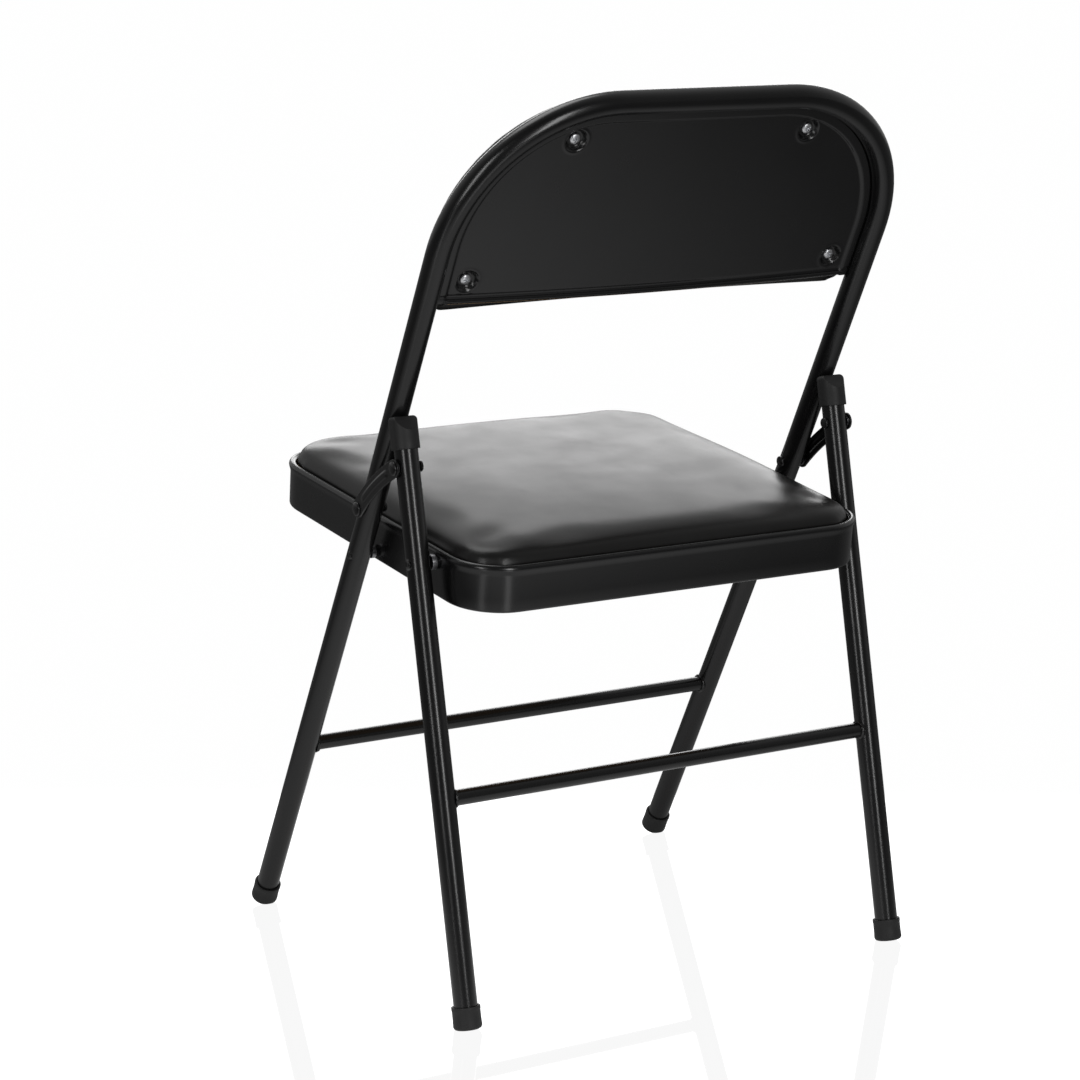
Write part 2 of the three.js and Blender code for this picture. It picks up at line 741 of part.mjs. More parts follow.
/** The steel panel: curved sheet, a rolled bead on its bottom edge and a dimple at each screw. */
function backPanel() {
  const sheet = common(
    curvedSheet(-panelRecess, panelThickness),
    backBlock(tubeDiameter + gap, panelBottom, panelBottomCorner),
  );
  const beadHalf = tubeInnerFace - panelBottomCorner;
  const beadRadius = panelHemDiameter / 2;
  const beadLine = Array.from({ length: beadSteps + 1 }, (_, i) => {
    const across = beadHalf * ((2 * i) / beadSteps - 1);
    const rear = bulge(across, panelBottom) - panelRecess - panelThickness / 2;
    return new THREE.Vector3(across, rear, panelBottom + beadRadius);
  });
  const outer = dimpleDiameter / 2;
  const inner = outer - dimpleWall;
  const hole = screwDiameter / 2 + gap;
  const cup = [
    [hole, dimpleFloor],
    [outer, dimpleFloor],
    [outer, 0],
    [inner, 0],
    [inner, dimpleFloor + dimpleWall],
    [hole, dimpleFloor + dimpleWall],
    [hole, dimpleFloor],
  ];
  const behind = curvedSheet(-panelRecess, archRadius / 2);
  const mouth = () => straightTube(inner, dimpleFloor, outer, 0, smallFaces);
  const openings = backScrewPlaces.map((place) => atBackScrew(mouth(), place));
  const dimples = backScrewPlaces.map((place) => common(atBackScrew(turned(cup), place), behind));
  return join(cut(sheet, ...openings), sweptTube(beadLine, beadRadius, 0, smallFaces), ...dimples);
}

/** The plywood board that the pad is stapled to. */
function backBoard() {
  const board = common(
    curvedSheet(padRearFace, backBoardThickness),
    backBlock(padInset + backBoardInset, padBottom + backBoardInset, padBottomCorner - backBoardInset / 2),
  );
  const drill = () => straightTube(screwDiameter / 2 + gap, -padThickness, padThickness, 0, smallFaces);
  return cut(board, ...backScrewPlaces.map((place) => atBackScrew(drill(), place)));
}

/** The back pad, as one plain solid with a pocket for its board. */
function backPad() {
  const outline = backBlock(padInset, padBottom, padBottomCorner, padRearFace - padThickness, padEdgeRadius);
  const pad = common(curvedSheet(padRearFace, padThickness), outline);
  const pocket = common(
    curvedSheet(padRearFace + 1, backBoardThickness + 1 + gap),
    backBlock(
      padInset + backBoardInset - gap,
      padBottom + backBoardInset - gap,
      padBottomCorner - backBoardInset / 2 + gap,
    ),
  );
  return cut(pad, pocket);
}

/** A back screw in its dimple. */
function backScrew(place) {
  const seat = dimpleFloor + dimpleWall + gap;
  const length = seat - padRearFace + backBoardThickness - screwShort;
  return atBackScrew(screw(length).translate(0, 0, seat), place);
}

// ---------------------------------------------------------------- assembly

/** A group that holds left-side pieces, mirrored when it stands for the right side. */
function sideGroup(side) {
  const group = new THREE.Group();
  group.scale.x = side;
  return group;
}

/** The hoop, its crossbar, feet and the fixed halves of its pivots. */
function frontFrame() {
  const group = new THREE.Group();
  group.add(piece('front_tube', frontTube(), paint));
  const bar = crossbar(railHalfSpan, frontAxisY(frontCrossbarHeight), frontCrossbarHeight, lowerRailFrame);
  group.add(piece('front_crossbar', bar, paint));
  for (const [name, side] of sides) {
    const half = sideGroup(side);
    const cup = piece(`front_foot_${name}`, foot(lowerLean), rubber);
    cup.position.x = railHalfSpan;
    cup.rotation.x = -lowerLean;
    const seatHead = tubeOuterFace - sunkSeatDepth + gap;
    const seatRivet = rivet(seatHead, seatHalfWidth - sheetThickness - gap, pivots.seat, sunkHead);
    const linkRivet = rivet(linkOuterFace + gap, tubeInnerFace - gap, pivots.linkFront);
    half.add(cup);
    half.add(piece(`seat_pivot_rivet_${name}`, seatRivet, paint));
    half.add(piece(`link_front_rivet_${name}`, linkRivet, paint));
    const shim = spacer(tubeOuterFace, linkInnerFace, pivots.linkFront);
    half.add(piece(`link_front_spacer_${name}`, shim, zinc));
    group.add(half);
  }
  return group;
}

/** The back: panel, board, pad and screws. */
function back() {
  const group = framed(backFrame);
  group.add(piece('back_panel', backPanel(), paint));
  group.add(piece('back_board', backBoard(), plywood));
  group.add(piece('back_pad', backPad(), vinyl));
  for (const place of backScrewPlaces) {
    group.add(piece(`back_screw_${place.name}`, backScrew(place), zinc));
  }
  return group;
}

/** The seat: apron, board, cushion, screws, spacers and bushes. */
function seat() {
  const group = framed(panFrame);
  group.add(piece('seat_apron', seatApron(), paint));
  group.add(piece('seat_board', seatBoard(), plywood));
  group.add(piece('seat_cushion', seatCushion(), vinyl));
  for (const [name, side] of sides) {
    const half = sideGroup(side);
    half.add(piece(`seat_pivot_spacer_${name}`, seatPivotSpacer(), zinc));
    half.add(piece(`rear_pivot_bush_${name}`, rearPivotBush(), zinc));
    group.add(half);
  }
  for (const { name, x, y } of seatScrewPlaces) {
    const fastener = piece(`seat_screw_${name}`, seatScrew(), zinc);
    fastener.position.set(x, y, flangeTop - sheetThickness - gap);
    group.add(fastener);
  }
  return group;
}

/** Both links with the rivets at their rear ends. */
function links() {
  const group = new THREE.Group();
  for (const [name, side] of sides) {
    const half = sideGroup(side);
    const rearRivet = rivet(linkOuterFace + gap, rearInnerFace - gap, pivots.linkRear);
    half.add(piece(`link_${name}`, linkPlate(), paint));
    half.add(piece(`link_rear_rivet_${name}`, rearRivet, paint));
    const shim = spacer(rearOuterFace, linkInnerFace, pivots.linkRear);
    half.add(piece(`link_rear_spacer_${name}`, shim, zinc));
    group.add(half);
  }
  return group;
}

/** The rear leg frame: legs, crossbar, caps, feet and the pins of the rear pivot. */
function rearLegs() {
  const group = new THREE.Group();
  const bar = crossbar(rearHalfSpan, rearAxisY(rearCrossbarHeight), rearCrossbarHeight, rearLegFrame);
  group.add(piece('rear_crossbar', bar, paint));
  for (const [name, side] of sides) {
    const half = sideGroup(side);
    const leg = framed(rearLegFrame);
    leg.position.x = rearHalfSpan;
    leg.add(piece(`rear_leg_${name}`, rearLeg(), paint));
    leg.add(piece(`rear_leg_cap_${name}`, rearLegCap(), rubber));
    leg.add(piece(`rear_foot_${name}`, foot(rearLean).rotateZ(Math.PI), rubber));
    half.add(leg);
    const pin = headedPin(rearOuterFace - sunkSeatDepth + gap, rearInnerFace + gap, pivots.rear);
    half.add(piece(`rear_pivot_rivet_${name}`, pin, paint));
    group.add(half);
  }
  return group;
}

/** The whole chair, with its origin on the floor under the middle of its box. */
function foldingChair() {
  const chair = new THREE.Group();
  chair.add(frontFrame(), back(), seat(), links(), rearLegs());
  const box = new THREE.Box3().setFromObject(chair, true);
  chair.position.y = -(box.min.y + box.max.y) / 2;
  return chair;
}

export default foldingChair();
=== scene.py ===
"""Looks of a padded steel folding chair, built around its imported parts. All sizes are in metres."""

import json
import logging
import math
from collections.abc import Callable, Sequence
from dataclasses import dataclass, field
from enum import Enum

import bmesh
import bpy
from bmesh.types import BMesh, BMEdge, BMVert
from mathutils import Matrix, Vector


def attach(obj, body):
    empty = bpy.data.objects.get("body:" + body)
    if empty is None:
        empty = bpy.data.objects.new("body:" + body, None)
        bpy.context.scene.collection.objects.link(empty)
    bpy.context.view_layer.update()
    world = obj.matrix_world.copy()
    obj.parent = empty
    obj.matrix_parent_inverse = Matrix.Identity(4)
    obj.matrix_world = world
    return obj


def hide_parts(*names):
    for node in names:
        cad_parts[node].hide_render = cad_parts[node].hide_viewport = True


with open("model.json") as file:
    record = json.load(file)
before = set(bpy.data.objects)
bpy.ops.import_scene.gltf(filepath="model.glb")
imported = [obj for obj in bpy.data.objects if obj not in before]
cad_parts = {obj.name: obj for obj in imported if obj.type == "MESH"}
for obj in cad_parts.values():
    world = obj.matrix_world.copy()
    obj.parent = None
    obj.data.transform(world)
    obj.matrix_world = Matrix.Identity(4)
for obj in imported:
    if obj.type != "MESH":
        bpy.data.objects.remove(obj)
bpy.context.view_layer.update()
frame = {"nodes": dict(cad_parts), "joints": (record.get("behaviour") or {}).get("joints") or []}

log = logging.getLogger("folding_chair")

Point = tuple[float, float]
QUARTER = math.pi / 2
ROUND = 2 * math.pi
SMOOTHING_PASSES = 12
EVENING_PASSES = 3
COVER_FRAMES = 20


class Side(Enum):
    """The two sides of the chair, by the sign of X."""

    LEFT = 1
    RIGHT = -1

    @property
    def label(self) -> str:
        """The side's word in a piece name."""
        return self.name.lower()


class Slot(Enum):
    """The record's material slots."""

    PAINT = "black_paint"
    VINYL = "vinyl"
    RUBBER = "rubber"
    SCREW = "zinc_screw"
    HARDWARE = "zinc_hardware"
    BOARD = "board"


class Body(Enum):
    """The bodies that move."""

    FRONT_FRAME = "front_frame"
    SEAT = "seat"
    LINK_LEFT = "link_left"
    LINK_RIGHT = "link_right"
    REAR_LEGS = "rear_legs"


def smooth_step(low: float, high: float, value: float) -> float:
    """Rises softly from 0 at low to 1 at high."""
    share = min(max((value - low) / (high - low), 0.0), 1.0)
    return share * share * (3 - 2 * share)


def soft_min(first: float, second: float, ease: float) -> float:
    """The lower of two numbers, rounded where they cross.

    Args:
        first: One number.
        second: The other number.
        ease: How far from the crossing the rounding reaches.

    Returns:
        A number at or just under the lower of the two.
    """
    share = max(ease - abs(first - second), 0.0) / ease
    return min(first, second) - share * share * ease / 4


def arc(centre: Point, radius: float, start: float, end: float, steps: int) -> list[Point]:
    """Points along an arc of a cross-section.

    Args:
        centre: The arc's centre.
        radius: The arc's radius.
        start: The first point's angle, in degrees.
        end: The last point's angle, in degrees.
        steps: How many lengths the arc is cut into.

    Returns:
        The points, both ends included.
    """
    angles = [math.radians(start + (end - start) * i / steps) for i in range(steps + 1)]
    return [(centre[0] + radius * math.cos(a), centre[1] + radius * math.sin(a)) for a in angles]


def leaning(origin: Vector, lean: float) -> Matrix:
    """A frame whose Z runs up a tube that leans to the rear by lean, and whose Y is square to it."""
    return Matrix.Translation(origin) @ Matrix.Rotation(-lean, 4, "X")


def across(place: Vector) -> Matrix:
    """A frame at a place whose Z runs along +X."""
    return Matrix.Translation(place) @ Matrix.Rotation(QUARTER, 4, "Y")


# ---------------------------------------------------------------- shared shader effects


def group_node(nodes: bpy.types.Nodes, tree: bpy.types.NodeTree, values: dict[str, float]) -> bpy.types.Node:
    """Places a node group in a material and sets its inputs.

    Args:
        nodes: The node tree's nodes.
        tree: The node group.
        values: The inputs to set, by name.

    Returns:
        The new node.
    """
    node = nodes.new("ShaderNodeGroup")
    node.node_tree = tree
    for name, value in values.items():
        node.inputs[name].default_value = value
    return node


def math_node(nodes: bpy.types.Nodes, operation: str, *values: float) -> bpy.types.Node:
    """Places a Math node with preset inputs.

    Args:
        nodes: The node tree's nodes.
        operation: The node's operation.
        values: The preset inputs, in order.

    Returns:
        The new node.
    """
    node = nodes.new("ShaderNodeMath")
    node.operation = operation
    for index, value in enumerate(values):
        node.inputs[index].default_value = value
    return node


def noise_node(nodes: bpy.types.Nodes, scale: float, detail: float, roughness: float = 0.5) -> bpy.types.Node:
    """Places a Noise Texture node.

    Args:
        nodes: The node tree's nodes.
        scale: The noise's scale.
        detail: How many finer layers the noise has.
        roughness: How strong the finer layers are.

    Returns:
        The new node.
    """
    node = nodes.new("ShaderNodeTexNoise")
    node.inputs["Scale"].default_value = scale
    node.inputs["Detail"].default_value = detail
    node.inputs["Roughness"].default_value = roughness
    return node


def range_node(nodes: bpy.types.Nodes, *limits: float) -> bpy.types.Node:
    """Places a Map Range node: from low, from high, to low, to high.

    Args:
        nodes: The node tree's nodes.
        limits: From low, from high, to low and to high.

    Returns:
        The new node.
    """
    node = nodes.new("ShaderNodeMapRange")
    for index, value in enumerate(limits, start=1):
        node.inputs[index].default_value = value
    return node


class Effects:
    """Shader effects that several finishes share, each built once as a node group."""

    def __init__(self) -> None:
        """Builds the groups."""
        self.uneven = self._uneven()
        self.orange_peel = self._orange_peel()
        self.scuffs = self._scuffs()

    @staticmethod
    def _new(name: str, inputs: dict[str, float], outputs: Sequence[str]) -> bpy.types.NodeTree:
        """Starts a group with number inputs and outputs beside its Place input.

        Args:
            name: The group's name.
            inputs: Its number inputs with their first values.
            outputs: Its number outputs.

        Returns:
            The new group, still without nodes.
        """
        tree = bpy.data.node_groups.new(name, "ShaderNodeTree")
        tree.interface.new_socket("Place", in_out="INPUT", socket_type="NodeSocketVector")
        for label, value in inputs.items():
            socket = tree.interface.new_socket(label, in_out="INPUT", socket_type="NodeSocketFloat")
            socket.default_value = value
        for label in outputs:
            tree.interface.new_socket(label, in_out="OUTPUT", socket_type="NodeSocketFloat")
        return tree

    def _uneven(self) -> bpy.types.NodeTree:
        """A value that drifts between two limits over the surface.

        Returns:
            The node group.
        """
        tree = self._new("uneven_value", {"Scale": 20.0, "Low": 0.3, "High": 0.4}, ["Value"])
        nodes, links = tree.nodes, tree.links
        start = nodes.new("NodeGroupInput")
        end = nodes.new("NodeGroupOutput")
        noise = noise_node(nodes, 1.0, 4.0)
        spread = range_node(nodes, 0.3, 0.7, 0.0, 1.0)
        links.new(start.outputs["Place"], noise.inputs["Vector"])
        links.new(start.outputs["Scale"], noise.inputs["Scale"])
        links.new(noise.outputs["Fac"], spread.inputs["Value"])
        links.new(start.outputs["Low"], spread.inputs["To Min"])
        links.new(start.outputs["High"], spread.inputs["To Max"])
        links.new(spread.outputs["Result"], end.inputs["Value"])
        return tree

    def _orange_peel(self) -> bpy.types.NodeTree:
        """Height of a sprayed or moulded skin: soft ripples with a finer grain on them.

        Returns:
            The node group.
        """
        tree = self._new("skin_ripple", {"Scale": 700.0, "Grain": 0.3}, ["Height"])
        nodes, links = tree.nodes, tree.links
        start = nodes.new("NodeGroupInput")
        end = nodes.new("NodeGroupOutput")
        ripple = noise_node(nodes, 1.0, 1.0)
        grain = noise_node(nodes, 1.0, 2.0)
        finer = math_node(nodes, "MULTIPLY", 0.0, 3.7)
        weighed = math_node(nodes, "MULTIPLY")
        total = math_node(nodes, "ADD")
        for noise in (ripple, grain):
            links.new(start.outputs["Place"], noise.inputs["Vector"])
        links.new(start.outputs["Scale"], ripple.inputs["Scale"])
        links.new(start.outputs["Scale"], finer.inputs[0])
        links.new(finer.outputs[0], grain.inputs["Scale"])
        links.new(grain.outputs["Fac"], weighed.inputs[0])
        links.new(start.outputs["Grain"], weighed.inputs[1])
        links.new(ripple.outputs["Fac"], total.inputs[0])
        links.new(weighed.outputs[0], total.inputs[1])
        links.new(total.outputs[0], end.inputs["Height"])
        return tree

    def _scuffs(self) -> bpy.types.NodeTree:
        """Mask of sparse fine rub marks from handling.

        Returns:
            The node group.
        """
        tree = self._new("rub_marks", {"Scale": 60.0, "Amount": 0.5}, ["Mask"])
        nodes, links = tree.nodes, tree.links
        start = nodes.new("NodeGroupInput")
        end = nodes.new("NodeGroupOutput")
        stretch = nodes.new("ShaderNodeMapping")
        stretch.inputs["Scale"].default_value = (1.0, 0.25, 0.25)
        marks = noise_node(nodes, 1.0, 8.0, 0.7)
        sparse = range_node(nodes, 0.6, 0.78, 0.0, 1.0)
        amount = math_node(nodes, "MULTIPLY")
        links.new(start.outputs["Place"], stretch.inputs["Vector"])
        links.new(stretch.outputs[0], marks.inputs["Vector"])
        links.new(start.outputs["Scale"], marks.inputs["Scale"])
        links.new(marks.outputs["Fac"], sparse.inputs["Value"])
        links.new(sparse.outputs["Result"], amount.inputs[0])
        links.new(start.outputs["Amount"], amount.inputs[1])
        links.new(amount.outputs[0], end.inputs["Mask"])
        return tree


# ---------------------------------------------------------------- finishes


@dataclass(frozen=True)
class Finish:
    """A finish with a drifting colour and gloss and a fine skin.

    Its base colour runs from dark to light, its roughness from low to high, and its skin is a
    bump of the given scale per metre and depth in metres.
    """

    name: str
    dark: tuple[float, float, float]
    light: tuple[float, float, float]
    roughness: Point
    drift_scale: float
    skin_scale: float
    skin_grain: float
    skin_depth: float
    scuff_amount: float = 0.1
    metallic: float = 0.0
    specular: float = 0.5
    coat: float = 0.0
    coat_roughness: float = 0.1

    def material(self, effects: Effects) -> bpy.types.Material:
        """Builds the material.

        Args:
            effects: The shared node groups.

        Returns:
            The new material.
        """
        material = bpy.data.materials.new(self.name)
        material.use_nodes = True
        nodes, links = material.node_tree.nodes, material.node_tree.links
        shader = nodes["Principled BSDF"]
        shader.inputs["Metallic"].default_value = self.metallic
        shader.inputs["Specular IOR Level"].default_value = self.specular
        shader.inputs["Coat Weight"].default_value = self.coat
        shader.inputs["Coat Roughness"].default_value = self.coat_roughness
        place = nodes.new("ShaderNodeTexCoord").outputs["Object"]
        tone = group_node(nodes, effects.uneven, {"Scale": self.drift_scale, "Low": 0.0, "High": 1.0})
        gloss = group_node(
            nodes,
            effects.uneven,
            {"Scale": 2.3 * self.drift_scale, "Low": self.roughness[0], "High": self.roughness[1]},
        )
        rubs = group_node(nodes, effects.scuffs, {"Scale": 70.0, "Amount": self.scuff_amount})
        worn = math_node(nodes, "ADD")
        blend = nodes.new("ShaderNodeMix")
        blend.data_type = "RGBA"
        blend.inputs["A"].default_value = (*self.dark, 1.0)
        blend.inputs["B"].default_value = (*self.light, 1.0)
        bump = nodes.new("ShaderNodeBump")
        bump.inputs["Strength"].default_value = 1.0
        bump.inputs["Distance"].default_value = self.skin_depth
        for node in (tone, gloss, rubs):
            links.new(place, node.inputs["Place"])
        links.new(tone.outputs["Value"], blend.inputs["Factor"])
        links.new(blend.outputs["Result"], shader.inputs["Base Color"])
        links.new(gloss.outputs["Value"], worn.inputs[0])
        links.new(rubs.outputs["Mask"], worn.inputs[1])
        links.new(worn.outputs[0], shader.inputs["Roughness"])
        links.new(self.height(nodes, links, effects, place), bump.inputs["Height"])
        links.new(bump.outputs["Normal"], shader.inputs["Normal"])
        return material

    def height(
        self,
        nodes: bpy.types.Nodes,
        links: bpy.types.NodeLinks,
        effects: Effects,
        place: bpy.types.NodeSocket,
    ) -> bpy.types.NodeSocket:
        """The height that the bump reads: a sprayed or moulded skin.

        Args:
            nodes: The material's nodes.
            links: The material's links.
            effects: The shared node groups.
            place: The socket with the place on the surface.

        Returns:
            The socket with the height.
        """
        skin = group_node(nodes, effects.orange_peel, {"Scale": self.skin_scale, "Grain": self.skin_grain})
        links.new(place, skin.inputs["Place"])
        return skin.outputs["Height"]


@dataclass(frozen=True)
class GrainedVinyl(Finish):
    """Soft vinyl with a pressed leather grain: shallow cells divided by creases."""

    cell_scale: float = 780.0
    cell_share: float = 0.6
    slack_scale: float = 26.0
    slack_share: float = 3.0

    def height(
        self,
        nodes: bpy.types.Nodes,
        links: bpy.types.NodeLinks,
        effects: Effects,
        place: bpy.types.NodeSocket,
    ) -> bpy.types.NodeSocket:
        """The height that the bump reads: the grain's cells over slow waves of the cloth.

        Args:
            nodes: The material's nodes.
            links: The material's links.
            effects: The shared node groups.
            place: The socket with the place on the surface.

        Returns:
            The socket with the height.
        """
        skin = super().height(nodes, links, effects, place)
        cells = nodes.new("ShaderNodeTexVoronoi")
        cells.feature = "DISTANCE_TO_EDGE"
        cells.inputs["Scale"].default_value = self.cell_scale
        crease = range_node(nodes, 0.0, 0.16, 0.0, self.cell_share)
        slack = noise_node(nodes, self.slack_scale, 1.0)
        waves = math_node(nodes, "MULTIPLY", 0.0, self.slack_share)
        grained = math_node(nodes, "ADD")
        total = math_node(nodes, "ADD")
        links.new(place, cells.inputs["Vector"])
        links.new(place, slack.inputs["Vector"])
        links.new(cells.outputs["Distance"], crease.inputs["Value"])
        links.new(slack.outputs["Fac"], waves.inputs[0])
        links.new(crease.outputs["Result"], grained.inputs[0])
        links.new(skin, grained.inputs[1])
        links.new(grained.outputs[0], total.inputs[0])
        links.new(waves.outputs[0], total.inputs[1])
        return total.outputs[0]


@dataclass(frozen=True)
class Plywood(Finish):
    """Raw plywood with long grain."""

    grain_scale: float = 24.0

    def height(
        self,
        nodes: bpy.types.Nodes,
        links: bpy.types.NodeLinks,
        effects: Effects,
        place: bpy.types.NodeSocket,
    ) -> bpy.types.NodeSocket:
        """The height that the bump reads: fine fibres, which also streak the colour.

        Args:
            nodes: The material's nodes.
            links: The material's links.
            effects: The shared node groups.
            place: The socket with the place on the surface.

        Returns:
            The socket with the height.
        """
        stretch = nodes.new("ShaderNodeMapping")
        stretch.inputs["Scale"].default_value = (0.12, 1.0, 1.0)
        fibres = noise_node(nodes, 9 * self.grain_scale, 6.0)
        rings = nodes.new("ShaderNodeTexWave")
        rings.bands_direction = "Y"
        rings.inputs["Scale"].default_value = self.grain_scale
        rings.inputs["Distortion"].default_value = 7.0
        rings.inputs["Detail"].default_value = 3.0
        streak = math_node(nodes, "MULTIPLY")
        blend = next(node for node in nodes if node.bl_idname == "ShaderNodeMix")
        links.new(place, stretch.inputs["Vector"])
        for node in (fibres, rings):
            links.new(stretch.outputs[0], node.inputs["Vector"])
        links.new(fibres.outputs["Fac"], streak.inputs[0])
        links.new(rings.outputs["Fac"], streak.inputs[1])
        links.new(streak.outputs[0], blend.inputs["Factor"])
        return fibres.outputs["Fac"]


FINISHES: dict[Slot, Finish] = {
    Slot.PAINT: Finish(
        name="satin_black_powder_coat",
        dark=(0.0050, 0.0050, 0.0052),
        light=(0.0068, 0.0068, 0.0070),
        roughness=(0.245, 0.275),
        drift_scale=12.0,
        skin_scale=620.0,
        skin_grain=0.25,
        skin_depth=0.0000006,
        scuff_amount=0.02,
        coat=0.25,
        coat_roughness=0.16,
    ),
    Slot.VINYL: GrainedVinyl(
        name="smooth_black_vinyl",
        dark=(0.0068, 0.0064, 0.0062),
        light=(0.0092, 0.0087, 0.0084),
        roughness=(0.31, 0.38),
        drift_scale=9.0,
        skin_scale=300.0,
        skin_grain=0.3,
        skin_depth=0.000016,
        scuff_amount=0.05,
    ),
    Slot.RUBBER: Finish(
        name="matt_black_moulded_plastic",
        dark=(0.013, 0.013, 0.0132),
        light=(0.018, 0.018, 0.0182),
        roughness=(0.5, 0.62),
        drift_scale=30.0,
        skin_scale=1900.0,
        skin_grain=0.6,
        skin_depth=0.000012,
        scuff_amount=0.12,
    ),
    Slot.SCREW: Finish(
        name="bright_zinc_plate",
        dark=(0.74, 0.75, 0.77),
        light=(0.90, 0.91, 0.93),
        roughness=(0.30, 0.42),
        drift_scale=300.0,
        skin_scale=1500.0,
        skin_grain=0.4,
        skin_depth=0.000008,
        scuff_amount=0.15,
        metallic=1.0,
    ),
    Slot.HARDWARE: Finish(
        name="dull_zinc_plate",
        dark=(0.20, 0.20, 0.21),
        light=(0.32, 0.32, 0.33),
        roughness=(0.28, 0.42),
        drift_scale=200.0,
        skin_scale=1200.0,
        skin_grain=0.5,
        skin_depth=0.00001,
        scuff_amount=0.15,
        metallic=1.0,
    ),
    Slot.BOARD: Plywood(
        name="raw_plywood",
        dark=(0.27, 0.16, 0.075),
        light=(0.47, 0.32, 0.18),
        roughness=(0.68, 0.82),
        drift_scale=8.0,
        skin_scale=400.0,
        skin_grain=0.5,
        skin_depth=0.0002,
    ),
}


class Workshop:
    """Holds the finishes, and turns meshes into finished pieces of the chair."""

    def __init__(self) -> None:
        """Builds every finish once."""
        effects = Effects()
        self.materials = {slot: finish.material(effects) for slot, finish in FINISHES.items()}

    def add(
        self,
        name: str,
        mesh: BMesh,
        slot: Slot,
        body: Body,
        stands_for: Sequence[str],
        crease: float = 35.0,
    ) -> bpy.types.Object:
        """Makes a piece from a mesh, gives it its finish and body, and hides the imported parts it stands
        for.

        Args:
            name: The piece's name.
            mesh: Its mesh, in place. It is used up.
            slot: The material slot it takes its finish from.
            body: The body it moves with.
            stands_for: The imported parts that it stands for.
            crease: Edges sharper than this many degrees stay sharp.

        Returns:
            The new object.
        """
        data = bpy.data.meshes.new(name)
        mesh.to_mesh(data)
        mesh.free()
        data.polygons.foreach_set("use_smooth", [True] * len(data.polygons))
        data.set_sharp_from_angle(angle=math.radians(crease))
        piece = bpy.data.objects.new(name, data)
        bpy.context.scene.collection.objects.link(piece)
        data.materials.append(self.materials[slot])
        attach(piece, body.value)
        if stands_for:
            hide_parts(*stands_for)
        log.info("%s: %d vertices, on %s", name, len(data.vertices), body.value)
        return piece

    def dress(self, node: str, slot: Slot) -> None:
        """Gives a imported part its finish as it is.

        Args:
            node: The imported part.
            slot: Its finish.
        """
        part = frame["nodes"][node]
        part.data.materials.clear()
        part.data.materials.append(self.materials[slot])
        log.info("%s: packed shape with a finish", node)


# ---------------------------------------------------------------- shaping tools


class SectionRun:
    """A cross-section carried along straight runs and bends, as on a bending bench.

    The section lies in the X and Y of its place, and travels along Z.
    """

    def __init__(self, mesh: BMesh, section: Sequence[Point], start: Matrix, closed: bool) -> None:
        """Lays the section down.

        Args:
            mesh: The mesh that the run adds to.
            section: The section's points.
            start: The section's place.
            closed: Whether the last point joins the first.
        """
        verts = [mesh.verts.new(start @ Vector((x, y, 0.0))) for x, y in section]
        self.mesh = mesh
        self.edges = [mesh.edges.new(pair) for pair in zip(verts, verts[1:])]
        if closed:
            self.edges.append(mesh.edges.new((verts[-1], verts[0])))
        self.first = list(self.edges)
        self.place = start.copy()

    def straight(self, length: float, steps: int = 1) -> None:
        """Carries the section straight on.

        Args:
            length: How far.
            steps: How many lengths the run is cut into.
        """
        step = self.place.to_3x3() @ Vector((0.0, 0.0, length / steps))
        for _ in range(steps):
            made = bmesh.ops.extrude_edge_only(self.mesh, edges=self.edges)["geom"]
            moved = {item for item in made if isinstance(item, BMVert)}
            bmesh.ops.translate(self.mesh, verts=list(moved), vec=step)
            self.edges = [item for item in made if isinstance(item, BMEdge) and moved.issuperset(item.verts)]
        self.place = Matrix.Translation(step * steps) @ self.place

    def bend(self, angle: float, radius: float, toward: Point, steps: int) -> None:
        """Carries the section round a bend.

        Args:
            angle: How far it turns.
            radius: The bend's radius.
            toward: The direction of the bend's centre, in the section's own X and Y.
            steps: How many lengths the bend is cut into.
        """
        inward = Vector((*toward, 0.0)).normalized()
        centre = self.place @ (inward * radius)
        axis = self.place.to_3x3() @ Vector((0.0, 0.0, 1.0)).cross(inward)
        made = bmesh.ops.spin(
            self.mesh,
            geom=self.edges,
            cent=centre,
            axis=axis,
            angle=angle,
            steps=steps,
            use_merge=False,
            use_duplicate=False,
        )
        self.edges = [item for item in made["geom_last"] if isinstance(item, BMEdge)]
        turn = Matrix.Rotation(angle, 4, axis)
        self.place = Matrix.Translation(centre) @ turn @ Matrix.Translation(-centre) @ self.place

    def close_ends(self) -> None:
        """Fills the first and last section."""
        bmesh.ops.edgeloop_fill(self.mesh, edges=self.first)
        bmesh.ops.edgeloop_fill(self.mesh, edges=self.edges)


def circle(radius: float, points: int) -> list[Point]:
    """A round cross-section."""
    return arc((0.0, 0.0), radius, 0.0, 360.0, points)[:-1]


def tidy(mesh: BMesh, distance: float = 1e-6) -> BMesh:
    """Merges doubled points and turns every face outwards.

    Args:
        mesh: The mesh, which is changed in place.
        distance: Points nearer than this are merged.

    Returns:
        The same mesh.
    """
    bmesh.ops.remove_doubles(mesh, verts=mesh.verts, dist=distance)
    bmesh.ops.recalc_face_normals(mesh, faces=mesh.faces)
    return mesh


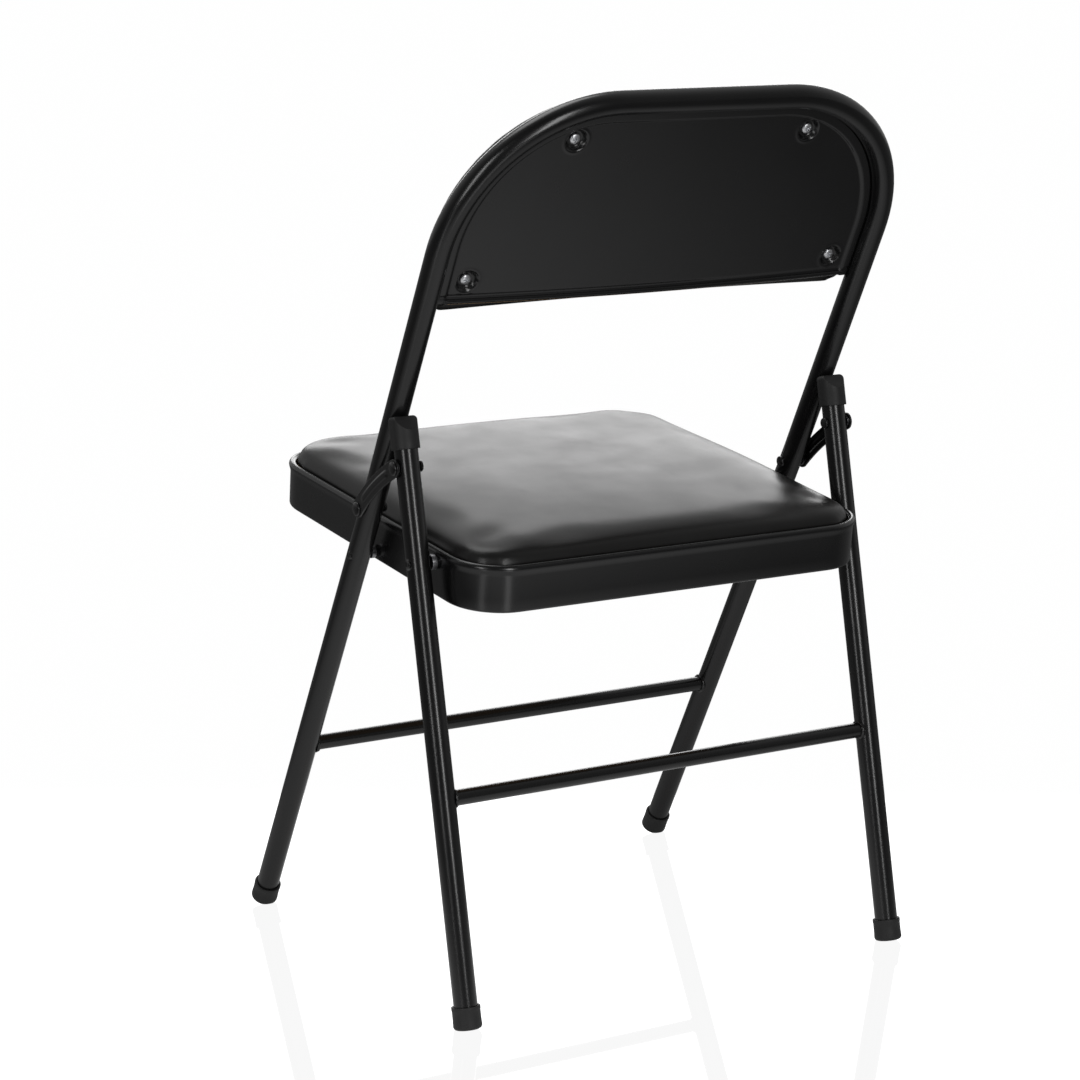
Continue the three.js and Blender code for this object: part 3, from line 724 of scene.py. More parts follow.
def turned(profile: Sequence[Point], place: Matrix, faces: int = 40) -> BMesh:
    """A shape turned on a lathe.

    Args:
        profile: Points as (radius, height) from one end of the shape to the other.
        place: Where the lathe's axis and base go.
        faces: How many flats go round.

    Returns:
        The new mesh.
    """
    mesh = bmesh.new()
    verts = [mesh.verts.new((radius, 0.0, height)) for radius, height in profile]
    edges = [mesh.edges.new(pair) for pair in zip(verts, verts[1:])]
    bmesh.ops.spin(
        mesh,
        geom=edges,
        cent=(0.0, 0.0, 0.0),
        axis=(0.0, 0.0, 1.0),
        angle=ROUND,
        steps=faces,
        use_merge=True,
        use_duplicate=False,
    )
    tidy(mesh)
    bmesh.ops.transform(mesh, matrix=place, verts=mesh.verts)
    return mesh


def moved_verts(mesh: BMesh, place: Callable[[Vector], Vector]) -> None:
    """Moves every point of a mesh to where a rule puts it."""
    for vert in mesh.verts:
        vert.co = place(vert.co)


def rounded(piece: bpy.types.Object, width: float, segments: int = 3, angle: float = 40.0) -> None:
    """Rounds a piece's sharp edges with a live bevel.

    Args:
        piece: The piece.
        width: The bevel's width.
        segments: How many flats it has.
        angle: Edges sharper than this many degrees are rounded.
    """
    bevel = piece.modifiers.new("rounded_edges", "BEVEL")
    bevel.width = width
    bevel.segments = segments
    bevel.limit_method = "ANGLE"
    bevel.angle_limit = math.radians(angle)
    bevel.harden_normals = True


def thickened(piece: bpy.types.Object, thickness: float, offset: float = 0.0) -> None:
    """Gives a sheet its thickness with a live modifier.

    Args:
        piece: The piece.
        thickness: The sheet's thickness.
        offset: 0 grows it both ways, and -1 or 1 to one side.
    """
    shell = piece.modifiers.new("sheet_thickness", "SOLIDIFY")
    shell.thickness = thickness
    shell.offset = offset
    shell.use_even_offset = True


# ---------------------------------------------------------------- the chair's layout


@dataclass
class Layout:
    """Where the chair's tubes run, from its joints and the lean of each tube."""

    tube_radius: float = 0.0105
    front_half_span: float = 0.224
    rear_half_span: float = 0.2246
    lower_lean: float = math.radians(28.9)
    upper_lean: float = math.radians(27.6)
    rear_lean: float = math.radians(11.9)
    seat_tilt: float = math.radians(6.06)
    bend_height: float = 0.441
    arch_radius: float = 0.1396
    arch_top: float = 0.3875
    seat_pivot_rise: float = 0.0082
    rear_pivot_height: float = 0.39351
    foot_gap: float = 0.003
    seat_pivot: Vector = field(init=False)
    link_front: Vector = field(init=False)
    link_rear: Vector = field(init=False)

    def __post_init__(self) -> None:
        """Reads the joints and lays out the frames that the pieces are built in."""
        places = {joint["name"]: Vector(joint["pos_m"]) for joint in frame["joints"]}
        self.seat_pivot = places["seat_fold"]
        self.link_front = places["link_left_swing"]
        self.link_rear = places["rear_leg_fold"]
        front_foot = self.seat_pivot.y - self.seat_pivot.z * math.tan(self.lower_lean)
        rear_foot = self.link_rear.y + self.link_rear.z * math.tan(self.rear_lean)
        bend_y = front_foot + self.bend_height * math.tan(self.lower_lean)
        self.rail = leaning(Vector((0.0, front_foot, 0.0)), self.lower_lean)
        self.back = leaning(Vector((0.0, bend_y, self.bend_height)), self.upper_lean)
        self.leg = leaning(Vector((0.0, rear_foot, 0.0)), -self.rear_lean)
        drop = Matrix.Translation((0.0, 0.0, -self.seat_pivot_rise))
        self.pan = leaning(self.seat_pivot, self.seat_tilt) @ drop
        rear_y = rear_foot - self.rear_pivot_height * math.tan(self.rear_lean)
        self.rear_pivot = Vector((0.0, rear_y, self.rear_pivot_height))

    def up_rail(self, height: float) -> float:
        """How far up the lower rail a height above the floor is."""
        return height / math.cos(self.lower_lean)

    def up_leg(self, height: float) -> float:
        """How far up a rear leg a height above the floor is."""
        return height / math.cos(self.rear_lean)

    def tube_end(self, lean: float) -> float:
        """How far up a leaning tube its lower end is."""
        return (self.foot_gap + self.tube_radius * math.sin(lean)) / math.cos(lean)

    def hoop_half_width(self, up: float) -> float:
        """Half the hoop's width between its tube's middle lines, at a height in the back's frame."""
        rise = min(max(up - (self.arch_top - self.arch_radius), 0.0), self.arch_radius)
        return self.front_half_span - self.arch_radius + math.sqrt(self.arch_radius**2 - rise**2)


def dimpled(mesh: BMesh, pivot: Vector, half_span: float, depth: float, reach: Point) -> None:
    """Presses a round dimple into the outer side of each leg at a pivot.

    Args:
        mesh: The tube's mesh.
        pivot: The pivot, whose X is not used.
        half_span: The X of the tube's middle line.
        depth: The dimple's depth.
        reach: The radius of its floor and of its edge.
    """
    for vert in mesh.verts:
        if abs(vert.co.x) > half_span:
            away = math.hypot(vert.co.y - pivot.y, vert.co.z - pivot.z)
            share = 1 - smooth_step(reach[0], reach[1], away)
            vert.co.x -= math.copysign(depth * share, vert.co.x)


# ---------------------------------------------------------------- tubes


@dataclass
class Tubes:
    """The front tube, the rear legs and the two crossbars with their weld beads."""

    layout: Layout
    tube_points: int = 40
    dimple_depth: float = 0.0018
    dimple_reach: Point = (0.0031, 0.0050)
    dimple_zone: float = 0.007
    dimple_steps: int = 20
    soft_bend: float = 0.12
    bar_radius: float = 0.007
    front_bar_height: float = 0.1803
    rear_bar_height: float = 0.1944
    bead_radius: float = 0.0017
    bead_offset: float = 0.0012
    bead_ripple: float = 0.00035
    bead_waves: int = 13
    cope_gap: float = 0.0001
    leg_top: float = 0.4920

    def front_tube(self, shop: Workshop) -> None:
        """One bent tube: up from the left foot, over the hoop and down to the right foot.

        Args:
            shop: Where the pieces are made.
        """
        lay = self.layout
        mesh = bmesh.new()
        low = lay.tube_end(lay.lower_lean)
        pivot = lay.up_rail(lay.seat_pivot.z)
        top = lay.up_rail(lay.bend_height)
        turn = lay.lower_lean - lay.upper_lean
        ease = self.soft_bend * math.tan(turn / 2)
        side = Matrix.Translation((lay.front_half_span, 0.0, 0.0))
        start = side @ lay.rail @ Matrix.Translation((0.0, 0.0, low))
        run = SectionRun(mesh, circle(lay.tube_radius, self.tube_points), start, closed=True)
        upper = lay.arch_top - lay.arch_radius - ease
        lengths = [
            (pivot - low - self.dimple_zone, 6),
            (2 * self.dimple_zone, self.dimple_steps),
            (top - pivot - self.dimple_zone - ease, 3),
        ]
        for length, steps in lengths:
            run.straight(length, steps)
        run.bend(turn, self.soft_bend, (0.0, -1.0), 4)
        run.straight(upper, 4)
        run.bend(QUARTER, lay.arch_radius, (-1.0, 0.0), 28)
        run.straight(2 * (lay.front_half_span - lay.arch_radius), 4)
        run.bend(QUARTER, lay.arch_radius, (-1.0, 0.0), 28)
        run.straight(upper, 4)
        run.bend(turn, self.soft_bend, (0.0, -1.0), 4)
        for length, steps in reversed(lengths):
            run.straight(length, steps)
        run.close_ends()
        dimpled(mesh, lay.seat_pivot, lay.front_half_span, self.dimple_depth, self.dimple_reach)
        shop.add("front_tube_bent", tidy(mesh), Slot.PAINT, Body.FRONT_FRAME, ["front_tube"])

    def rear_leg(self, shop: Workshop, side: Side) -> None:
        """One straight rear leg with the dimple of its pivot.

        Args:
            shop: Where the pieces are made.
            side: The side of the chair.
        """
        lay = self.layout
        mesh = bmesh.new()
        low = lay.tube_end(lay.rear_lean)
        pivot = lay.up_leg(lay.rear_pivot_height)
        top = lay.up_leg(self.leg_top)
        place = Matrix.Translation((side.value * lay.rear_half_span, 0.0, 0.0)) @ lay.leg
        start = place @ Matrix.Translation((0.0, 0.0, low))
        run = SectionRun(mesh, circle(lay.tube_radius, self.tube_points), start, closed=True)
        run.straight(pivot - low - self.dimple_zone, 6)
        run.straight(2 * self.dimple_zone, self.dimple_steps)
        run.straight(top - pivot - self.dimple_zone, 3)
        run.close_ends()
        dimpled(mesh, lay.rear_pivot, lay.rear_half_span, self.dimple_depth, self.dimple_reach)
        name = f"rear_leg_{side.label}"
        shop.add(f"{name}_tube", tidy(mesh), Slot.PAINT, Body.REAR_LEGS, [name])

    def crossbar(
        self,
        shop: Workshop,
        name: str,
        body: Body,
        legs: Matrix,
        half_span: float,
        height: float,
    ) -> None:
        """A crossbar coped to two legs, with a weld bead at each end.

        Args:
            shop: Where the piece is made.
            name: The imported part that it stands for.
            body: The body it moves with.
            legs: The frame of the legs' middle lines.
            half_span: The X of the legs' middle lines.
            height: The bar's height above the floor.
        """
        lay = self.layout
        along = legs.to_3x3() @ Vector((0.0, 0.0, 1.0))
        origin = legs.translation
        centre = origin + along * ((height - origin.z) / along.z)
        inner = half_span - lay.tube_radius
        mesh = bmesh.new()
        start = across(Vector((-half_span, centre.y, centre.z)))
        run = SectionRun(mesh, circle(self.bar_radius, 32), start, closed=True)
        run.straight(2 * half_span, 30)
        for side in Side:
            reach = self.bar_radius + 0.3 * self.bead_radius
            bead = SectionRun(
                mesh,
                circle(self.bead_radius, 10),
                Matrix.Translation((side.value * (inner + self.bead_offset), centre.y, centre.z + reach))
                @ Matrix.Rotation(-QUARTER, 4, "X"),
                closed=True,
            )
            bead.bend(ROUND, reach, (0.0, 1.0), 40)
        tidy(mesh)

        def coped(point: Vector) -> Vector:
            """Keeps a point just outside the leg beside it, and gives the bead its ripples.

            Args:
                point: A point of the mesh.

            Returns:
                Where it goes.
            """
            middle = math.copysign(half_span, point.x)
            offset = Vector((point.x - middle, point.y - centre.y, point.z - centre.z))
            lengthwise = offset.dot(along)
            away = offset - along * lengthwise
            clear = lay.tube_radius + self.cope_gap
            around = math.atan2(point.z - centre.z, point.y - centre.y)
            if math.hypot(point.y - centre.y, point.z - centre.z) > self.bar_radius + 0.0002:
                wave = math.sin(self.bead_waves * around + 2 * math.sin(3 * around))
                point = point + away.normalized() * self.bead_ripple * wave
                away = away + away.normalized() * self.bead_ripple * math.sin(self.bead_waves * around)
            if away.length < clear or abs(point.x) > half_span:
                flat = Vector((0.0, *(away.yz)))
                rest = math.sqrt(max(clear**2 - flat.length_squared, 0.0))
                return Vector((middle - math.copysign(rest, middle), point.y, point.z))
            return point

        moved_verts(mesh, coped)
        shop.add(f"{name}_welded", mesh, Slot.PAINT, body, [name], crease=50.0)

    def build(self, shop: Workshop) -> None:
        """Builds every tube.

        Args:
            shop: Where the pieces are made.
        """
        lay = self.layout
        self.front_tube(shop)
        bars = [
            ("front_crossbar", Body.FRONT_FRAME, lay.rail, lay.front_half_span, self.front_bar_height),
            ("rear_crossbar", Body.REAR_LEGS, lay.leg, lay.rear_half_span, self.rear_bar_height),
        ]
        for bar in bars:
            self.crossbar(shop, *bar)
        for side in Side:
            self.rear_leg(shop, side)


# ---------------------------------------------------------------- feet and caps


@dataclass
class Mouldings:
    """The rubber feet and the plastic caps on the rear legs."""

    layout: Layout
    foot_radius: float = 0.01265
    foot_height: float = 0.020
    foot_edge: float = 0.003
    foot_flat: float = 0.0011
    wall_gap: float = 0.0002
    cap_radius: float = 0.0125
    cap_base: float = 0.4893
    cap_length: float = 0.0285
    cap_edge: float = 0.0036
    facet_drop: float = 0.012
    facet_slope: float = math.radians(55)
    slant_softness: float = 0.0012
    flat_face: float = 0.0118
    flat_softness: float = 0.0006
    hollow_gap: float = 0.0003
    hollow_start: float = 0.002

    def foot(self, shop: Workshop, name: str, body: Body, place: Matrix, lean: float) -> None:
        """A foot cup with a rolled lip, worn flat where it stands.

        Args:
            shop: Where the piece is made.
            name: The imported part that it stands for.
            body: The body it moves with.
            place: The frame of the tube it is on.
            lean: How far that tube leans.
        """
        radius, edge = self.foot_radius, self.foot_edge
        sole = ((radius - edge) * math.sin(lean) + edge - self.foot_flat) / math.cos(lean) - edge
        top = sole + self.foot_height
        inner = self.layout.tube_radius + self.wall_gap
        lip = 0.0006
        profile = [
            (0.0, sole),
            *arc((radius - edge, sole + edge), edge, -90.0, 0.0, 6),
            (radius - 0.00025, sole + 0.45 * self.foot_height),
            (radius - 0.00025, top - 0.0036),
            (radius, top - 0.0030),
            *arc((radius - lip, top - lip), lip, 0.0, 90.0, 4),
            (inner, top - 0.0002),
            (inner, top - 0.004),
        ]
        mesh = turned(profile, place, 48)
        for vert in mesh.verts:
            vert.co.z = max(vert.co.z, 0.0)
        shop.add(f"{name}_cup", mesh, Slot.RUBBER, body, [name], crease=50.0)

    def cap(self, shop: Workshop, side: Side) -> None:
        """A cap with a slanted back, a hollow for the front tube and a flat beside the link.

        Args:
            shop: Where the pieces are made.
            side: The side of the chair.
        """
        lay = self.layout
        base = lay.up_leg(self.cap_base)
        top = base + self.cap_length
        inner = lay.tube_radius + self.wall_gap
        rim = 0.0007
        body_rings = [(self.cap_radius, base + rim + 0.0011 * (i + 1)) for i in range(21)]
        disc_rings = [((self.cap_radius - self.cap_edge) * (1 - i / 12), top) for i in range(1, 12)]
        profile = [
            (inner, base + 0.003),
            (inner, base),
            *arc((self.cap_radius - rim, base + rim), rim, -90.0, 0.0, 3),
            *body_rings,
            *arc((self.cap_radius - self.cap_edge, top - self.cap_edge), self.cap_edge, 0.0, 90.0, 5),
            *disc_rings,
            (0.0, top),
        ]
        mesh = turned(profile, Matrix.Identity(4), 72)
        facet_height = top - self.facet_drop
        to_leg = lay.leg.inverted() @ lay.back
        tube_spot = to_leg.translation
        tube_way = to_leg.to_3x3() @ Vector((0.0, 0.0, 1.0))
        offset = lay.front_half_span - lay.rear_half_span
        clear = lay.tube_radius + self.hollow_gap

        def shaped(point: Vector) -> Vector:
            """Cuts one point back to the slant, the hollow and the flat.

            Args:
                point: A point of the mesh.

            Returns:
                Where it goes.
            """
            slant = facet_height + (self.cap_radius - point.y) * math.tan(self.facet_slope)
            height = soft_min(point.z, slant, self.slant_softness)
            spot = Vector((point.x, point.y, height))
            from_tube = spot - tube_spot - Vector((offset, 0.0, 0.0))
            away = from_tube - tube_way * from_tube.dot(tube_way)
            if away.length < clear and height > base + self.hollow_start:
                spot += away.normalized() * (clear - away.length)
            spot.x = soft_min(spot.x, self.flat_face, self.flat_softness)
            return spot

        moved_verts(mesh, shaped)
        mirror = Matrix.Diagonal((side.value, 1.0, 1.0, 1.0))
        place = Matrix.Translation((side.value * lay.rear_half_span, 0.0, 0.0)) @ lay.leg @ mirror
        bmesh.ops.transform(mesh, matrix=place, verts=mesh.verts)
        tidy(mesh, 1e-5)
        name = f"rear_leg_cap_{side.label}"
        shop.add(f"{name}_moulded", mesh, Slot.RUBBER, Body.REAR_LEGS, [name], crease=60.0)

    def build(self, shop: Workshop) -> None:
        """Builds the four feet and the two caps.

        Args:
            shop: Where the pieces are made.
        """
        lay = self.layout
        for side in Side:
            front = Matrix.Translation((side.value * lay.front_half_span, 0.0, 0.0)) @ lay.rail
            rear = Matrix.Translation((side.value * lay.rear_half_span, 0.0, 0.0)) @ lay.leg
            self.foot(shop, f"front_foot_{side.label}", Body.FRONT_FRAME, front, lay.lower_lean)
            self.foot(shop, f"rear_foot_{side.label}", Body.REAR_LEGS, rear, lay.rear_lean)
            self.cap(shop, side)


# ---------------------------------------------------------------- links, rivets and spacers


@dataclass
class Pivots:
    """The two links and every rivet, spacer and bush."""

    layout: Layout
    shank: float = 0.0032
    head_radius: float = 0.00625
    head_height: float = 0.0024
    tail_radius: float = 0.005
    tail_height: float = 0.0022
    small_head_radius: float = 0.0029
    small_head_height: float = 0.0012
    dimple_depth: float = 0.0018
    spacer_radius: float = 0.006
    seat_half_width: float = 0.209
    sheet: float = 0.0016
    gap: float = 0.0003
    link_standoff: float = 0.0016
    link_thickness: float = 0.002
    link_half_width: float = 0.008
    link_rise: float = 0.0035
    rib_half_width: float = 0.0026
    rib_height: float = 0.0011
    rib_inset: float = 0.015
    neck_radius: float = 0.004
    shoulder_radius: float = 0.007

    def dome(self, radius: float, height: float, face: float) -> list[Point]:
        """Lathe points of a domed head on a face, from its rim to its crown.

        Args:
            radius: The head's radius.
            height: The head's height.
            face: The distance of its face from the middle of the chair.

        Returns:
            Points as (radius, distance from the middle of the chair).
        """
        curve = arc((0.0, face + 0.25 * height), 1.0, 0.0, 90.0, 7)
        base = face + 0.25 * height
        rings = [(radius * x, base + 0.75 * height * (y - face - 0.25 * height)) for x, y in curve]
        return [(radius, face), *rings]

    def rivet(self, shop: Workshop, name: str, body: Body, spot: Vector, ends: Point, head: Point) -> None:
        """A rivet through a joint, with a domed head outside and a rolled tail inside.

        Args:
            shop: Where the piece is made.
            name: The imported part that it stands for.
            body: The body it moves with.
            spot: The pivot. The sign of its X says which side the head is on.
            ends: The distance from the middle of the chair to the tail's and the head's face.
            head: The head's radius and height.
        """
        tail, face = ends
        roll = 0.0007
        profile = [
            (0.0, tail - self.tail_height),
            (self.tail_radius - roll, tail - self.tail_height),
            *arc((self.tail_radius - roll, tail - self.tail_height + roll), roll, -90.0, 0.0, 3),
            (self.tail_radius, tail),
            (self.shank, tail),
            (self.shank, face),
            *self.dome(*head, face),
        ]
        self._across(shop, name, body, spot, profile, Slot.PAINT)

    def _across(
        self,
        shop: Workshop,
        name: str,
        body: Body,
        spot: Vector,
        profile: Sequence[Point],
        slot: Slot,
    ) -> None:
        """Turns a profile about X, from the middle of the chair outwards, and makes the piece.

        Args:
            shop: Where the piece is made.
            name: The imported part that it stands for.
            body: The body it moves with.
            spot: The axis's Y and Z, with the side as the sign of its X.
            profile: The lathe points, as radius and distance from the middle of the chair.
            slot: The finish.
        """
        turn = Matrix.Rotation(math.copysign(QUARTER, spot.x), 4, "Y")
        place = Matrix.Translation((0.0, spot.y, spot.z)) @ turn
        mesh = turned(profile, place, 36)
        shop.add(f"{name}_turned", mesh, slot, body, [name], crease=42.0)

    def spacer(self, shop: Workshop, name: str, body: Body, spot: Vector, ends: Point) -> None:
        """A round spacer on a rivet between two faces.

        Args:
            shop: Where the piece is made.
            name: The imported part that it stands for.
            body: The body it moves with.
            spot: The axis, with the side as the sign of its X.
            ends: The distances of its two faces from the middle of the chair.
        """
        low, high = ends
        inner, outer, edge = self.shank + self.gap, self.spacer_radius, 0.0003
        profile = [
            (inner, low),
            (outer - edge, low),
            (outer, low + edge),
            (outer, high - edge),
            (outer - edge, high),
            (inner, high),
            (inner, low),
        ]
        self._across(shop, name, body, spot, profile, Slot.HARDWARE)

    def bush(self, shop: Workshop, side: Side) -> None:
        """The bush in the apron that the rear leg turns on.

        Args:
            shop: Where the pieces are made.
            side: The side of the chair.
        """
        lay = self.layout
        inner = lay.rear_half_span - lay.tube_radius - self.gap
        wall = self.seat_half_width
        tail = wall - self.sheet - self.gap
        edge = 0.0005
        profile = [
            (0.0, tail - self.sheet),
            (self.tail_radius, tail - self.sheet),
            (self.tail_radius, tail),
            (self.neck_radius, tail),
            (self.neck_radius, wall + self.gap),
            (self.shoulder_radius, wall + self.gap),
            *arc((self.shoulder_radius - edge, inner - edge), edge, 0.0, 90.0, 3),
            (0.0, inner),
        ]
        spot = Vector((side.value, lay.rear_pivot.y, lay.rear_pivot.z))
        self._across(shop, f"rear_pivot_bush_{side.label}", Body.SEAT, spot, profile, Slot.HARDWARE)

    def link(self, shop: Workshop, side: Side) -> None:
        """A pressed link: an arched strip with round ends and a raised rib along its middle.

        Args:
            shop: Where the pieces are made.
            side: The side of the chair.
        """
        lay = self.layout
        run = lay.link_rear - lay.link_front
        span = run.length
        radius = (span * span / 4 + self.link_rise**2) / (2 * self.link_rise)
        reach = math.asin(span / 2 / radius)
        rows = 20
        mesh = bmesh.new()
        width = [self.link_half_width * (2 * i / rows - 1) for i in range(rows + 1)]
        start = Matrix.Translation((0.0, self.link_rise - radius, 0.0)) @ Matrix.Rotation(reach, 4, "Z")
        verts = [mesh.verts.new(start @ Vector((0.0, radius + w, 0.0))) for w in width]
        edges = [mesh.edges.new(pair) for pair in zip(verts, verts[1:])]
        arc_centre = (0.0, self.link_rise - radius, 0.0)
        swept = bmesh.ops.spin(
            mesh,
            geom=edges,
            cent=arc_centre,
            axis=(0.0, 0.0, -1.0),
            angle=2 * reach,
            steps=44,
            use_merge=False,
            use_duplicate=False,
        )
        last = [item for item in swept["geom_last"] if isinstance(item, BMEdge)]
        for ends, middle in ((edges, -span / 2), (last, span / 2)):
            centre = Vector((middle, 0.0, 0.0))
            half = [e for e in ends if sum((v.co - Vector(arc_centre)).length for v in e.verts) / 2 > radius]
            bmesh.ops.spin(
                mesh,
                geom=half,
                cent=centre,
                axis=(0.0, 0.0, 1.0 if middle < 0 else -1.0),
                angle=math.pi,
                steps=18,
                use_merge=False,
                use_duplicate=False,
            )
        tidy(mesh, 2e-5)

        def ribbed(point: Vector) -> Vector:
            """Raises the rib.

            Args:
                point: A point of the mesh.

            Returns:
                Where it goes.
            """
            from_arc = math.hypot(point.x, point.y - arc_centre[1]) - radius
            ends = span / 2 - self.rib_inset - abs(point.x)
            rib = 1 - smooth_step(self.rib_half_width - 0.0008, self.rib_half_width + 0.0009, abs(from_arc))
            lift = self.rib_height * rib * smooth_step(-0.0022, 0.0008, ends)
            return Vector((point.x, point.y, point.z + lift))

        moved_verts(mesh, ribbed)
        along = run.normalized()
        outward = Vector((1.0, 0.0, 0.0))
        square = outward.cross(along)
        basis = Matrix((along, square, outward)).transposed().to_4x4()
        middle = (lay.link_front + lay.link_rear) / 2
        face = lay.rear_half_span + lay.tube_radius + self.link_standoff + self.link_thickness / 2
        place = Matrix.Translation((face, middle.y, middle.z)) @ basis
        mirror = Matrix.Diagonal((side.value, 1.0, 1.0, 1.0))
        bmesh.ops.transform(mesh, matrix=mirror @ place, verts=mesh.verts)
        bmesh.ops.recalc_face_normals(mesh, faces=mesh.faces)
        body = Body.LINK_LEFT if side is Side.LEFT else Body.LINK_RIGHT
        piece = shop.add(f"link_{side.label}_pressed", mesh, Slot.PAINT, body, [f"link_{side.label}"])
        thickened(piece, self.link_thickness)
        rounded(piece, 0.0004)

    def build(self, shop: Workshop) -> None:
        """Builds the links and what holds them.

        Args:
            shop: Where the pieces are made.
        """
        lay = self.layout
        tube_in = lay.front_half_span - lay.tube_radius
        tube_out = lay.front_half_span + lay.tube_radius
        leg_in = lay.rear_half_span - lay.tube_radius
        leg_out = lay.rear_half_span + lay.tube_radius
        link_in = leg_out + self.link_standoff
        link_out = link_in + self.link_thickness
        big = (self.head_radius, self.head_height)
        small = (self.small_head_radius, self.small_head_height)
        for side in Side:
            seat_spot = Vector((side.value, *lay.seat_pivot.yz))
            front_spot = Vector((side.value, *lay.link_front.yz))
            rear_spot = Vector((side.value, *lay.link_rear.yz))
            leg_spot = Vector((side.value, *lay.rear_pivot.yz))
            link_body = Body.LINK_LEFT if side is Side.LEFT else Body.LINK_RIGHT
            label = side.label
            self.link(shop, side)
            seat_reach = (self.seat_half_width - self.sheet - self.gap, tube_out - self.dimple_depth + 0.0002)
            self.rivet(shop, f"seat_pivot_rivet_{label}", Body.FRONT_FRAME, seat_spot, seat_reach, small)
            front_reach = (tube_in - self.gap, link_out + 0.0001)
            self.rivet(shop, f"link_front_rivet_{label}", Body.FRONT_FRAME, front_spot, front_reach, big)
            rear_reach = (leg_in - self.gap, link_out + 0.0001)
            self.rivet(shop, f"link_rear_rivet_{label}", link_body, rear_spot, rear_reach, big)
            head = [
                (0.0, leg_in + self.gap),
                (self.shank, leg_in + self.gap),
                (self.shank, leg_out - self.dimple_depth + 0.0002),
                *self.dome(*small, leg_out - self.dimple_depth + 0.0002),
            ]
            self._across(shop, f"rear_pivot_rivet_{label}", Body.REAR_LEGS, leg_spot, head, Slot.PAINT)
            self.bush(shop, side)
            seat_ends = (self.seat_half_width + self.gap, tube_in - self.gap)
            self.spacer(shop, f"seat_pivot_spacer_{label}", Body.SEAT, seat_spot, seat_ends)
            front_ends = (tube_out + self.gap, link_in - 0.0001)
            self.spacer(shop, f"link_front_spacer_{label}", Body.FRONT_FRAME, front_spot, front_ends)
            rear_ends = (leg_out + self.gap, link_in - 0.0001)
            self.spacer(shop, f"link_rear_spacer_{label}", link_body, rear_spot, rear_ends)


# ---------------------------------------------------------------- soft pieces


def puffed(
    mesh: BMesh,
    shape: Callable[[Vector], Vector],
    seam_base: Callable[[Vector], bool],
    limit: Callable[[Vector, Vector], Vector],
    voxel: float = 0.0042,
    pressure: float = 4.0,
) -> BMesh:
    """Swells a closed form as a padded cover does, and holds its base still.

    Args:
        mesh: The closed form, flat and in its own frame. It is used up.
        shape: Crowns a point of the form, and takes it to its place on the chair.
        seam_base: Says whether a point is on the base, which rests on its board.
        limit: Takes a point's old and new place, and gives where it may go.
        voxel: The size that the form is remeshed at.
        pressure: The pressure inside the cover.

    Returns:
        The swollen form, smoothed everywhere but on its base.
    """
    data = bpy.data.meshes.new("padding")
    mesh.to_mesh(data)
    mesh.free()
    form = bpy.data.objects.new("padding", data)
    scene = bpy.context.scene
    scene.collection.objects.link(form)
    remesh = form.modifiers.new("even_cells", "REMESH")
    remesh.mode = "VOXEL"
    remesh.voxel_size = voxel
    settle(form)
    evened = bmesh.new()
    evened.from_mesh(form.data)
    for _ in range(EVENING_PASSES):
        bmesh.ops.smooth_vert(
            evened, verts=evened.verts, factor=0.5, use_axis_x=True, use_axis_y=True, use_axis_z=True
        )
    moved_verts(evened, shape)
    evened.to_mesh(form.data)
    evened.free()
    before = [vert.co.copy() for vert in form.data.vertices]
    held = form.vertex_groups.new(name="held")
    held.add([i for i, place in enumerate(before) if seam_base(place)], 1.0, "REPLACE")
    cloth = form.modifiers.new("cover", "CLOTH")
    cloth.settings.quality = 5
    cloth.settings.mass = 0.25
    cloth.settings.tension_stiffness = 40.0
    cloth.settings.compression_stiffness = 40.0
    cloth.settings.shear_stiffness = 20.0
    cloth.settings.bending_stiffness = 12.0
    cloth.settings.use_pressure = True
    cloth.settings.uniform_pressure_force = pressure
    cloth.settings.effector_weights.gravity = 0.0
    cloth.settings.vertex_group_mass = "held"
    cloth.collision_settings.use_collision = False
    cloth.point_cache.frame_start = 1
    cloth.point_cache.frame_end = COVER_FRAMES
    for number in range(1, COVER_FRAMES + 1):
        scene.frame_set(number)
    settle(form)
    scene.frame_set(1)
    swollen = bmesh.new()
    swollen.from_mesh(form.data)
    swollen.verts.ensure_lookup_table()
    for vert, old in zip(swollen.verts, before):
        vert.co = limit(old, vert.co)
    bpy.data.objects.remove(form)
    loose = [vert for vert, old in zip(swollen.verts, before) if not seam_base(old)]
    for _ in range(SMOOTHING_PASSES):
        bmesh.ops.smooth_vert(
            swollen, verts=loose, factor=0.5, use_axis_x=True, use_axis_y=True, use_axis_z=True
        )
    return swollen


def settle(piece: bpy.types.Object) -> None:
    """Applies a piece's modifiers to its mesh.

    Args:
        piece: The piece.
    """
    graph = bpy.context.evaluated_depsgraph_get()
    shown = bpy.data.meshes.new_from_object(piece.evaluated_get(graph))
    piece.modifiers.clear()
    piece.data = shown


def fine(piece: bpy.types.Object, levels: int = 1) -> None:
    """Adds a subdivision, the same in the view and the render.

    Args:
        piece: The piece.
        levels: How many times it is subdivided.
    """
    smooth = piece.modifiers.new("smooth_cover", "SUBSURF")
    smooth.levels = levels
    smooth.render_levels = levels


# ---------------------------------------------------------------- seat


